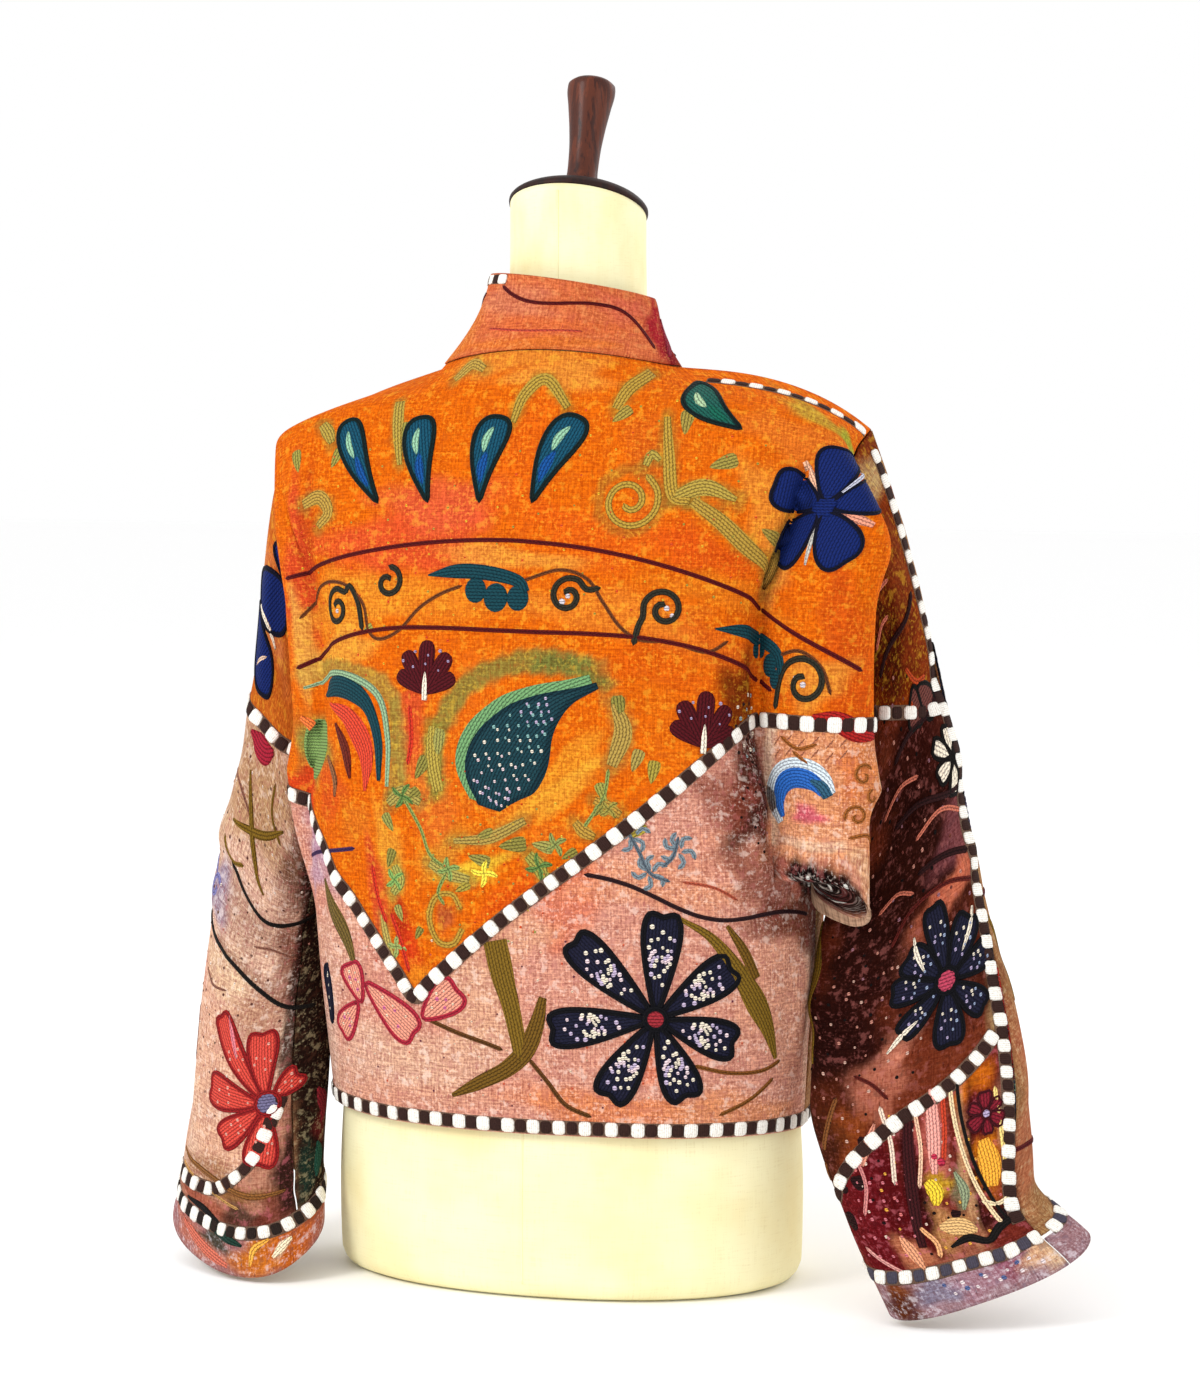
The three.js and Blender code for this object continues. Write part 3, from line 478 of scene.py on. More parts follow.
def panel(name, cloth, a_ends, low, high, ground, spots, material, step=3.4, crowd=None):
    """A closed shell of cloth between two edges, its outside coloured from its ground and spots, its back
    plain.

    crowd is the share of the height about which rows lie closer, and how far that reaches.
    """
    a = even_columns(cloth, *a_ends, step)
    bottom, top = (np.broadcast_to(edge(a), a.shape) for edge in (low, high))
    rows = max(3, int(round(np.max(top - bottom) * cloth.high / step)))
    shares = np.linspace(0, 1, rows + 1)
    if crowd:
        fine = np.linspace(0, 1, 800)
        dense = np.cumsum(1 + 3.2 * np.exp(-((fine - crowd[0]) / crowd[1]) ** 2))
        dense = (dense - dense[0]) / (dense[-1] - dense[0])
        shares = np.interp(np.linspace(0, 1, int(rows * 1.5) + 1), dense, fine)
    b = bottom + (top - bottom) * shares[:, None]
    grid = np.broadcast_to(a, b.shape)
    outside = cloth.surface(grid, b).reshape(-1, 3)
    inside = cloth.surface(grid, b, -WALL).reshape(-1, 3)
    x, y = (p.ravel() for p in cloth.xy(grid, b))
    n, (nr, nc) = len(outside), b.shape
    turned = cloth.out_way < 0
    outer, inner = grid_quads(nr, nc, turned), grid_quads(nr, nc, not turned, n)
    loop = np.concatenate([np.arange(nc), np.arange(1, nr) * nc + nc - 1,
                           np.arange(nc - 2, -1, -1) + (nr - 1) * nc, np.arange(nr - 2, 0, -1) * nc])
    nxt = np.roll(loop, -1)
    rim = np.stack([loop, loop + n, nxt + n, nxt], -1)
    rim = rim[:, ::-1] if turned else rim
    faces = np.concatenate([outer, rim, inner])
    kinds = np.r_[np.zeros(len(outer) + len(rim)), np.ones(len(inner))]
    outline = abs(np.sum(x[loop] * y[nxt] - y[loop] * x[nxt])) / 2
    colour = dyed(x, y, ground, spots)
    return make_piece(name, np.concatenate([outside, inside]), faces.tolist(), [material, backing], kinds,
                      {"cut": np.tile(np.c_[x, y], (2, 1))}, np.tile(colour, (2, 1)), [name[4:]])


# ---- needlework ----------------------------------------------------------------------------------
def curve(points, step=2.5, closed=False):
    """Even samples of a smooth curve through points, and the length run to each."""
    p = np.asarray(points, float)
    p = np.vstack([p[-1], p, p[:2]] if closed else [2 * p[0] - p[1], p, 2 * p[-1] - p[-2]])
    q = np.linspace(0, 1, 12, endpoint=False)[:, None]
    bits = [0.5 * (2 * b + (c - a) * q + (2 * a - 5 * b + 4 * c - d) * q ** 2 + (3 * b - 3 * c + d - a) * q
                   ** 3) for a, b, c, d in zip(p, p[1:], p[2:], p[3:])]
    dense = np.vstack(bits + [p[-2][None]])
    run = np.concatenate([[0], np.cumsum(np.linalg.norm(np.diff(dense, axis=0), axis=1))])
    even = np.linspace(0, run[-1], max(2, int(round(run[-1] / step))) + 1)
    out = np.stack([np.interp(even, run, dense[:, k]) for k in (0, 1)], -1)
    return (out[:-1], even[:-1]) if closed else (out, even)


def turned(points, x, y, turn=0.0, size=1.0):
    """Points drawn about an origin, turned by degrees, sized and moved to a place."""
    c, s = math.cos(math.radians(turn)) * size, math.sin(math.radians(turn)) * size
    p = np.asarray(points, float)
    return np.stack([x + p[..., 0] * c - p[..., 1] * s, y + p[..., 0] * s + p[..., 1] * c], -1)


class Needlework:
    """Everything worked on one stretch of cloth, gathered into one piece."""

    SUNK = -0.25             # a worked shape's edge lies just inside the cloth

    def __init__(self, name, cloth):
        self.name, self.cloth = name, cloth
        self.places, self.heights, self.stitches, self.colours, self.faces = [], [], [], [], []
        self.count = 0

    def lay(self, thread, places, heights, stitches, faces):
        places = np.asarray(places, float).reshape(-1, 2)
        self.places.append(places)
        self.heights.append(np.asarray(heights, float).ravel())
        self.stitches.append(np.asarray(stitches, float).reshape(-1, 2))
        self.colours.append(np.tile(hue(thread) if isinstance(thread, str) else thread, (len(places), 1)))
        self.faces += [[k + self.count for k in f] for f in faces]
        self.count += len(places)

    def line(self, thread, way, half, crown=0.9, lift=0.0, closed=False, step=2.5):
        """A worked line or leaf along a way, of one half width or several spread evenly along it."""
        way, run = curve(way, step, closed)
        ahead = np.roll(way, -1, 0) - np.roll(way, 1, 0) if closed else np.gradient(way, axis=0)
        ahead /= np.linalg.norm(ahead, axis=1, keepdims=True)
        side = np.stack([-ahead[:, 1], ahead[:, 0]], -1)
        if np.ndim(half):
            share = run / run[-1] * (len(half) - 1)
            half = np.maximum(smooth_row(half, share), 0.15)
        else:
            near = np.clip(np.minimum(run, run[-1] - run) / half, 0, 1)
            half = half * np.ones(len(run)) if closed else half * np.maximum(np.sqrt(1 - (1 - near) ** 2),
                                                                             0.15)
        n = 5 if half.max() < 3 else 7 if half.max() < 9 else 11 if half.max() < 18 else 17
        c = np.sin(np.linspace(-1, 1, n) * np.pi / 2)
        places = way[:, None, :] + side[:, None, :] * (half[:, None] * c)[..., None]
        rise = np.minimum(half / 1.2, 1)[:, None] * crown * (1 - c * c) ** 0.42
        heights = np.where(np.abs(c) > 0.999, self.SUNK, lift + rise)
        stitches = np.stack(np.broadcast_arrays(run[:, None], half[:, None] * c), -1)
        rows = len(way)
        faces = grid_quads(rows + (1 if closed else 0), n, False, wrap=True) % (rows * n)
        faces = faces[:, ::-1].tolist()
        if not closed:
            faces += [list(range(n)), list(range(rows * n - 1, rows * n - n - 1, -1))]
        self.lay(thread, places, heights, stitches, faces)

    def patch(self, thread, outline, crown=0.9, lift=0.0, grain=0.0):
        """A filled shape inside a closed outline, seen whole from its middle."""
        rim, _ = curve(outline, 3.0, closed=True)
        if np.sum(rim[:, 0] * np.roll(rim[:, 1], -1) - np.roll(rim[:, 0], -1) * rim[:, 1]) < 0:
            rim = rim[::-1]
        middle, n = rim.mean(0), len(rim)
        deep = max(2, int(np.linalg.norm(rim - middle, axis=1).max() / 4.5))
        shares = np.concatenate([[1, 0.95], np.linspace(0.86, 0, deep + 1)[:-1]])
        places = np.concatenate([middle + (rim - middle) * s for s in shares] + [middle[None], middle[None]])
        heights = np.concatenate([np.full(n, self.SUNK if s == 1 else lift + crown * (1 - s ** 4) ** 0.5)
                                  for s in shares] + [[lift + crown], [self.SUNK]])
        faces = grid_quads(len(shares), n, False, wrap=True).tolist()
        last, hub = (len(shares) - 1) * n, len(shares) * n
        faces += [[last + i, last + (i + 1) % n, hub] for i in range(n)]
        faces += [[(i + 1) % n, i, hub + 1] for i in range(n)]
        self.lay(thread, places, heights, turned(places, 0, 0, -grain), faces)

    def edged(self, thread, border, outline, crown=0.9, lift=0.0, grain=0.0, border_half=1.3):
        """A filled shape with a line of another thread round it."""
        self.patch(thread, outline, crown, lift, grain)
        self.line(border, outline, border_half, crown + 0.35, lift, closed=True)

    def knots(self, thread, places, radius=1.3, crown=1.0, lift=0.6):
        """French knots: small round beads of thread."""
        ring = np.arange(7) * 2 * np.pi / 7
        rim = np.stack([np.cos(ring), np.sin(ring)], -1)
        for k, place in enumerate(np.asarray(places, float).reshape(-1, 2)):
            r = radius * (0.82 + 0.36 * ((k * 0.618) % 1))
            points = np.concatenate([place + rim * r, place + rim * r * 0.6, place[None]])
            heights = np.r_[np.full(7, self.SUNK), np.full(7, lift + crown * 0.75), lift + crown]
            faces = grid_quads(2, 7, False, wrap=True).tolist() + [[7 + i, 7 + (i + 1) % 7, 14]
                                                                   for i in range(7)]
            self.lay(thread, points, heights, points - place, faces + [list(range(6, -1, -1))])

    def sew(self, material, nodes=(), slot=None):
        places, heights = np.concatenate(self.places), np.concatenate(self.heights)
        points = self.cloth.at(places[:, 0], places[:, 1], heights)
        faces = self.faces
        return make_piece(self.name, points, faces, material, None, {"stitch": np.concatenate(self.stitches)},
                          np.concatenate(self.colours), nodes)


def smooth_row(values, at):
    """Smooth values between even stations."""
    v = np.concatenate([[2 * values[0] - values[1]], values, [2 * values[-1] - values[-2]]])
    k = np.clip(at.astype(int), 0, len(values) - 2)
    q = at - k
    a, b, c, d = v[k], v[k + 1], v[k + 2], v[k + 3]
    return 0.5 * (2 * b + (c - a) * q + (2 * a - 5 * b + 4 * c - d) * q ** 2 + (3 * b - 3 * c + d - a) * q
                  ** 3)


def scattered(outline, n, reach=0.72):
    """Places spread evenly inside an outline, by the golden angle."""
    rim, _ = curve(outline, 2.0, closed=True)
    middle = rim.mean(0)
    spoke = rim - middle
    angle = np.arctan2(spoke[:, 1], spoke[:, 0])
    order = np.argsort(angle)
    k = np.arange(n)
    at = (k * 2.39996 + 0.4 + np.pi) % (2 * np.pi) - np.pi
    long = np.interp(at, angle[order], np.linalg.norm(spoke, axis=1)[order], period=2 * np.pi)
    r = long * reach * np.sqrt((k + 0.6) / n)
    return middle + np.stack([np.cos(at), np.sin(at)], -1) * r[:, None]


# ---- finishes ------------------------------------------------------------------------------------
class Wire:
    """A value in a finish that takes part in Python arithmetic."""

    def __init__(self, finish, socket):
        self.finish, self.socket = finish, socket

    def math(self, operation, *others):
        return self.finish.node("ShaderNodeMath", {"operation": operation}, dict(enumerate((self,) + others)))

    def __add__(self, other):
        return self.math("ADD", other)

    def __mul__(self, other):
        return self.math("MULTIPLY", other)

    def __sub__(self, other):
        return self.math("SUBTRACT", other)

    def __rsub__(self, other):
        return self.finish.node("ShaderNodeMath", {"operation": "SUBTRACT"}, {0: other, 1: self})

    __radd__, __rmul__ = __add__, __mul__

    def between(self, low, high):
        """0 below low, 1 above high, smooth between."""
        return self.finish.node("ShaderNodeMapRange", {"interpolation_type": "SMOOTHSTEP"},
                                {"Value": self, "From Min": low, "From Max": high})


class Finish:
    """A node finish: any node in one call, and the shader's own sockets at the end."""

    def __init__(self, name):
        self.material = bpy.data.materials.new(name)
        self.material.use_nodes = True
        self.tree = self.material.node_tree
        self.shader = self.tree.nodes["Principled BSDF"]

    def node(self, kind, settings=(), inputs=(), out=0):
        made = self.tree.nodes.new(kind)
        for key, value in dict(settings).items():
            if key == "stops":
                ramp = made.color_ramp
                for k, (place, tint) in enumerate(value):
                    stop = ramp.elements[k] if k < 2 else ramp.elements.new(place)
                    stop.position, stop.color = place, (*tint, 1)
            else:
                setattr(made, key, value)
        self.join(made, inputs)
        return Wire(self, made.outputs[out])

    def join(self, made, inputs):
        for key, value in dict(inputs).items():
            socket = made.inputs[key]
            if isinstance(value, Wire):
                self.tree.links.new(value.socket, socket)
            elif np.ndim(value) and len(value) == 3 and socket.type == "RGBA":
                socket.default_value = (*value, 1)
            else:
                socket.default_value = value

    def field(self, name, out="Vector"):
        return self.node("ShaderNodeAttribute", {"attribute_name": name}, out=out)

    def axes(self, vector):
        parts = self.node("ShaderNodeSeparateXYZ", inputs={0: vector}).socket.node
        return [Wire(self, s) for s in parts.outputs]

    def at(self, x, y, z=0.0):
        return self.node("ShaderNodeCombineXYZ", inputs={0: x, 1: y, 2: z})

    def noise(self, place, scale=1.0, detail=2.0, rough=0.5):
        return self.node("ShaderNodeTexNoise", inputs={"Vector": place, "Scale": scale, "Detail": detail,
                                                       "Roughness": rough})

    def wave(self, value, pitch, phase=0.0):
        """Sine of a length with a pitch, from 0 to 1."""
        return (value * (2 * math.pi / pitch) + phase).math("SINE") * 0.5 + 0.5

    def mix(self, a, b, share, blend="MIX"):
        made = self.node("ShaderNodeMix", {"data_type": "RGBA", "blend_type": blend},
                         {0: share, 6: a, 7: b}, out=2)
        return made

    def end(self, inputs, bump=None, deep=0.0003, strength=0.6):
        if bump is not None:
            inputs["Normal"] = self.node("ShaderNodeBump", inputs={"Height": bump, "Distance": deep,
                                                                   "Strength": strength})
        self.join(self.shader, inputs)
        return self.material


def woven(name, fleck, shade, flecked=0.35, dashed=0.4, tone=(0.80, 0.74, 0.70), mottled=0.5,
          deep=(0.60, 0.40, 0.36), thread=1.15):
    """Hand-loomed cotton: uneven crossed threads over the colour held at each point, flecked and mottled with
    two tints.
    """
    f = Finish(name)
    cut, dye_and_shade = f.field("cut"), f.field("dye_and_shade", "Color")
    x, y, _ = f.axes(cut)
    weft = f.noise(f.at(x * 0.05, y * (1 / thread)), detail=1.0)
    warp = f.noise(f.at(x * (1 / thread), y * 0.05), detail=1.0)
    speck = f.noise(cut, 0.42, 3.0, 0.65)
    cloud = f.noise(cut, 0.055, 2.0)
    dash = f.noise(f.at(x * 0.55, y * 0.16), detail=2.0).between(0.60, 0.72)
    light = (weft + warp).between(0.78, 1.22)
    dye_and_shade = f.mix(dye_and_shade, tone, 1.0, "MULTIPLY")
    dark = f.mix(dye_and_shade, deep, 1.0, "MULTIPLY")
    pale = f.mix(dye_and_shade, (1.20, 1.20, 1.10), 1.0, "MULTIPLY")
    colour = f.mix(dark, pale, light * 0.45 + speck.between(0.34, 0.66) * 0.55)
    colour = f.mix(colour, f.mix(dye_and_shade, hue(fleck), 0.62), speck.between(0.53, 0.68)
                   * cloud.between(0.36, 0.60) * flecked)
    blotch = f.noise(cut, 0.12, 3.0, 0.62)
    colour = f.mix(colour, f.mix(dye_and_shade, hue(fleck), 0.5), blotch.between(0.54, 0.66) * mottled)
    colour = f.mix(colour, f.mix(dye_and_shade, hue(shade), 0.5), (1 - blotch.between(0.34, 0.46)) * mottled)
    colour = f.mix(colour, hue(shade), dash * dashed)
    weave = f.wave(x, thread) * f.wave(y, thread) + f.wave(x, thread, math.pi) * f.wave(y, thread, math.pi)
    height = weave * 0.5 + light * 0.9 + speck * 0.4
    return f.end({"Base Color": colour, "Roughness": 0.98 - light * 0.06, "Specular IOR Level": 0.05},
                 height, 0.0006, 0.75)


def worked_thread(name):
    """Chain stitch in rows of slanting loops: painted shade in the grooves, painted highlight on the ridges.
    """
    f = Finish(name)
    stitch, dye_and_shade = f.field("stitch"), f.field("dye_and_shade", "Color")
    along, across, _ = f.axes(stitch)
    row = across * (1 / 2.3)
    ridge = 1 - (row.math("FRACT") - 0.5).math("ABSOLUTE") * 2
    loop = f.wave(along + row.math("FLOOR") * 1.3 + (row.math("FRACT") - 0.5).math("ABSOLUTE") * 2.2, 3.1)
    fibre = f.noise(stitch, 0.9, 2.0, 0.6)
    height = ridge.between(0.0, 0.7) * 0.6 + loop * 0.4
    tone = height * 0.65 + fibre.between(0.3, 0.7) * 0.35
    # dark is painted shade in the grooves between rows and loops, pale a painted highlight on their ridges
    dark = f.mix(dye_and_shade, (0.30, 0.28, 0.30), 1.0, "MULTIPLY")
    pale = f.mix(dye_and_shade, (1.08, 1.06, 1.02), 1.0, "MULTIPLY")
    return f.end({"Base Color": f.mix(dark, pale, tone.between(0.18, 0.80)), "Roughness": 0.86 - tone * 0.2,
                  "Specular IOR Level": 0.12}, height, 0.0007, 0.8)


def checked_braid(name):
    """Cotton braid: tight ribs across each block, with painted shade in the grooves between them."""
    f = Finish(name)
    stitch, dye_and_shade = f.field("stitch"), f.field("dye_and_shade", "Color")
    along, across, _ = f.axes(stitch)
    rib = f.wave(along, 1.5)
    fibre = f.noise(stitch, 0.6, 3.0, 0.6)
    # darker in the grooves between ribs: painted shade, mixed with random tone of the fibre
    colour = f.mix(f.mix(dye_and_shade, (0.55, 0.50, 0.46), 1.0, "MULTIPLY"), dye_and_shade,
                   rib * 0.45 + fibre.between(0.25, 0.6) * 0.55)
    return f.end({"Base Color": colour, "Roughness": 0.88, "Specular IOR Level": 0.12},
                 rib * 0.7 + f.wave(across, 2.1) * 0.3, 0.0005, 0.6)


def plain_back(name):
    """Unbleached cotton, as the wrong side of the cloth shows in the cuffs and the neck."""
    f = Finish(name)
    cut = f.field("cut")
    x, y, _ = f.axes(cut)
    thread = f.noise(f.at(x * 0.06, y * 0.8)) * 0.5 + f.noise(f.at(x * 0.8, y * 0.06)) * 0.5
    colour = f.mix(hue("#7E5E48"), hue("#C8A284"), thread.between(0.35, 0.62))
    return f.end({"Base Color": colour, "Roughness": 0.95}, thread, 0.0004, 0.5)


def cover_cloth(name):
    """Smooth cream linen of the dress form, with a fine slub and a little yellowing."""
    f = Finish(name)
    place = f.field("cut")
    x, y, _ = f.axes(place)
    slub = f.noise(f.at(x * 0.9, y * 0.05)) * 0.5 + f.noise(f.at(x * 0.05, y * 0.9)) * 0.5
    aged = f.noise(place, 0.012, 3.0)
    colour = f.mix(hue("#F8F1C4"), hue("#EEDDA0"), aged.between(0.35, 0.72) * 0.7)
    colour = f.mix(colour, hue("#DCCB90"), slub.between(0.52, 0.66) * 0.30)
    return f.end({"Base Color": colour, "Roughness": 0.82, "Specular IOR Level": 0.25}, slub, 0.0003, 0.35)


def turned_wood(name, dark, light, long_grain, gloss):
    """Stained and lacquered turned wood with its grain along the length."""
    f = Finish(name)
    place = f.field("cut")
    x, y, z = f.axes(place)
    grain = f.noise(f.at(x * 0.22, y * 0.22, z * long_grain), 1.0, 4.0, 0.62)
    ring = f.wave(grain * 30.0 + x * 0.25, 6.0)
    colour = f.mix(hue(dark), hue(light), (grain.between(0.32, 0.66) * 0.7 + ring * 0.3))
    return f.end({"Base Color": colour, "Roughness": 0.46 + grain * 0.18, "Specular IOR Level": 0.22,
                  "Coat Weight": gloss, "Coat Roughness": 0.2}, grain + ring * 0.2, 0.0003, 0.25)


backing = plain_back("plain_backing")
marigold = woven("marigold_cloth", "#FFC83A", "#B4501A", 0.50, 0.35, (0.79, 0.69, 0.56), 0.45)
rose = woven("rose_cloth", "#FDEBDF", "#A85A58", 0.66, 0.62, (0.88, 0.80, 0.76), 0.6, (0.46, 0.30, 0.30))
# rose cloth of the right sleeve's back, made darker throughout as painted shade
rose_painted_shade = woven("rose_cloth_painted_shade", "#A8605A", "#1C0A08", 0.40, 0.5, (0.80, 0.72, 0.68), 0.6)
tan = woven("tan_cloth", "#D9C79A", "#5A3426", 0.50, 0.45, mottled=0.5)
maroon = woven("maroon_patch", "#D9707C", "#2A0A0C", 0.34, 0.5, (0.62, 0.52, 0.48), 0.6)
mauve = woven("mauve_cloth", "#F2EAF0", "#4A3444", 0.65, 0.55, (0.76, 0.72, 0.72), 0.7)
salmon = woven("salmon_cloth", "#F7B06A", "#A8323A", 0.50, 0.4, (0.80, 0.72, 0.56), 0.4)
thread = worked_thread("worked_thread")
braid_finish = checked_braid("checked_trim")
cover = cover_cloth("form_cover")
dark_wood = turned_wood("dark_wood", "#140806", "#2E130C", 0.03, 0.0)
red_wood = turned_wood("red_wood", "#2A0C06", "#602A14", 0.02, 0.12)


# ---- what colours each panel, in chart millimetres: its dyes, and painted shade in places --------
# each spot: x, y, half length, half width, turn, tint, depth; each stroke: points, half width, tint, depth
# faded stems and leaves of the yoke, dyed soft and worked over low: points, half widths, tint
FADED = [
    ([(-12, 500), (-5, 520), (10, 531), (27, 511)], (2.5, 4.5, 4.5, 3), "#8F923F"),
    ([(-62, 534), (-50, 545), (-38, 540)], (3, 5, 3), "#98964A"),
    ([(-99, 518), (-97, 494), (-94, 470)], (4, 4.5, 2), "#8E9848"),
    ([(-160, 504), (-154, 496), (-150, 488)], (4, 6, 3), "#8E9848"),
    ([(62, 510), (70, 528), (84, 543)], (3.5, 5.5, 4.5), "#96923E"),
    ([(99, 505), (102, 478), (106, 450), (118, 446)], (2.5, 4, 5, 3.5), "#96923E"),
    ([(106, 448), (128, 456), (150, 448)], (4, 6.5, 2), "#8E9848"),
    ([(120, 446), (140, 432), (160, 414), (182, 398)], (4, 6, 6, 3), "#8E8E40"),
    ([(186, 424), (190, 404), (184, 386)], (4, 8, 4), "#8C8440"),
    ([(-176, 446), (-160, 450), (-152, 438), (-162, 428)], (4, 6, 5, 3), "#9A9448"),
    ([(86, 470), (90, 478), (96, 474)], (2.5, 3.5, 2), "#8A9A4A"),
    ([(-96, 230), (-84, 238), (-70, 232)], (3, 6, 3), "#7F9A56"),
    ([(-44, 206), (-18, 209), (8, 222)], (2, 4.5, 3), "#8A9450"),
    ([(-62, 190), (-46, 182), (-33, 179)], (3, 5, 3), "#86A058"),
    ([(10, 198), (18, 190), (22, 180)], (4, 6, 3), "#6E9A4C"),
    ([(-92, 186), (-88, 176), (-94, 166)], (3, 5.5, 3), "#7FA85A"),
    ([(72, 305), (78, 286), (70, 262)], (3, 7, 4), "#8F9450"),
    ([(58, 238), (66, 234), (76, 228)], (3, 5, 3), "#9A8E40"),
    ([(44, 222), (50, 216), (58, 212)], (3, 5, 2.5), "#9A8E40"),
    ([(-60, 286), (-60, 262), (-56, 240)], (3, 6, 4), "#93A04A"),
    ([(-40, 158), (-46, 168), (-58, 166), (-64, 150), (-58, 134), (-46, 133), (-39, 144)],
    (2.2, 2.4, 2.6, 2.4), "#98903C"), ([(-104, 150), (-100, 132), (-94, 116)], (1.5, 3.5, 1.5), "#9AA860")]
YOKE_DYE_AND_SHADE = [
    (-80, 418, 74, 30, 8, "#F0603A", 0.9), (-60, 442, 46, 22, 0, "#F2704E", 0.7),
    (-190, 400, 60, 16, 84, "#E8523A", 0.8), (-176, 420, 50, 10, 84, "#C8431F", 0.6),
    (-20, 548, 60, 12, 4, "#F2A94A", 0.7), (20, 534, 40, 12, 0, "#F7B452", 0.7),
    (90, 470, 46, 18, 92, "#E2742A", 0.5), (190, 496, 44, 20, -20, "#F6913A", 0.7),
    (206, 522, 40, 9, -24, "#C9B94A", 0.85), (236, 508, 22, 8, -36, "#A9D050", 0.8),
    (175, 440, 20, 40, 20, "#FBB04A", 0.7), (192, 396, 18, 22, 0, "#F9B65A", 0.7),
    (150, 382, 60, 12, -14, "#F99A2A", 0.6), (-120, 372, 84, 20, 6, "#FAAE3C", 0.8),
    (-40, 372, 70, 14, 0, "#F8962A", 0.7), (70, 366, 70, 18, -8, "#F9A03C", 0.7),
    (150, 340, 66, 14, -16, "#EE7A2C", 0.5), (-150, 338, 50, 12, 10, "#FBC052", 0.8),
    (0, 330, 60, 22, -6, "#F47E12", 0.6), (-40, 296, 30, 60, 8, "#F57E1E", 0.6),
    ([(-76, 304), (-78, 280), (-76, 256)], 10, "#E9603E", 0.85),
    ([(-92, 300), (-90, 270), (-84, 250)], 5, "#B48A3A", 0.7), (-60, 232, 18, 50, 14, "#F0863A", 0.7),
    ([(-58, 244), (-56, 280), (-30, 318), (20, 334), (62, 326)], 8, "#7E9A52", 0.8),
    ([(20, 330), (44, 330), (66, 318)], 7, "#6E8A4C", 0.7), (40, 262, 36, 12, 40, "#FBB43A", 0.7),
    (28, 240, 40, 10, 30, "#FFC84A", 0.7), (116, 300, 26, 46, 0, "#F8861A", 0.7),
    # the dark brown spots at x 166 and x 150 in the next two lines are painted shade beside the hanging fold
    (100, 330, 40, 14, -14, "#EC6A12", 0.6), (166, 300, 18, 46, 8, "#6A2E0E", 0.9),
    (150, 272, 24, 18, 40, "#8E3C12", 0.8), (-52, 196, 30, 12, 50, "#E8B040", 0.6),
    (-28, 186, 26, 9, 20, "#FBE04A", 0.9), (30, 210, 34, 10, 26, "#F58A2A", 0.6),
    (2, 170, 30, 14, 30, "#F4621A", 0.7), (-96, 190, 12, 34, 8, "#FAC04A", 0.75),
    (-108, 166, 9, 40, 8, "#E2583A", 0.85), (-86, 142, 7, 30, 12, "#C83222", 0.9),
    (-80, 118, 12, 26, 10, "#EE4A22", 0.8), (-52, 152, 7, 11, 0, "#C46A44", 0.85),
    (-40, 130, 22, 16, 0, "#F88424", 0.6), (-70, 108, 20, 8, 0, "#F8A22A", 0.8),
    (-190, 262, 30, 30, 0, "#7FA05A", 0.85), (-206, 236, 26, 20, 0, "#EE4A26", 0.9),
    (-158, 238, 16, 26, 20, "#E8602C", 0.7),
    ([(-200, 322), (-150, 326), (-98, 312), (-88, 275), (-90, 236)], 7, "#A0A85A", 0.7),
    (-10, 240, 30, 14, 20, "#F28E2C", 0.6), (-128, 214, 18, 16, 0, "#E98A2C", 0.7),
    (-196, 340, 10, 40, 0, "#FAD070", 0.7), (258, 350, 20, 70, 14, "#E6641A", 0.8),
    (236, 328, 26, 18, 0, "#F9AE4A", 0.85), (-4, 470, 30, 50, 0, "#F8781A", 0.6),
    (60, 420, 60, 20, -6, "#F8701E", 0.6), (130, 410, 40, 14, -20, "#EE5E1E", 0.6),
    (-8, 404, 60, 8, -4, "#FBC25A", 0.6)]
YOKE_DYE_AND_SHADE += [(way, max(half) * 1.2, tint, 0.5) for way, half, tint in FADED]
YOKE_DYE_AND_SHADE += [([(76 + 22 * math.cos(a / 9), 445 + 22 * math.sin(a / 9)) for a in range(57)], 4, "#9A8A3C",
              0.5)]
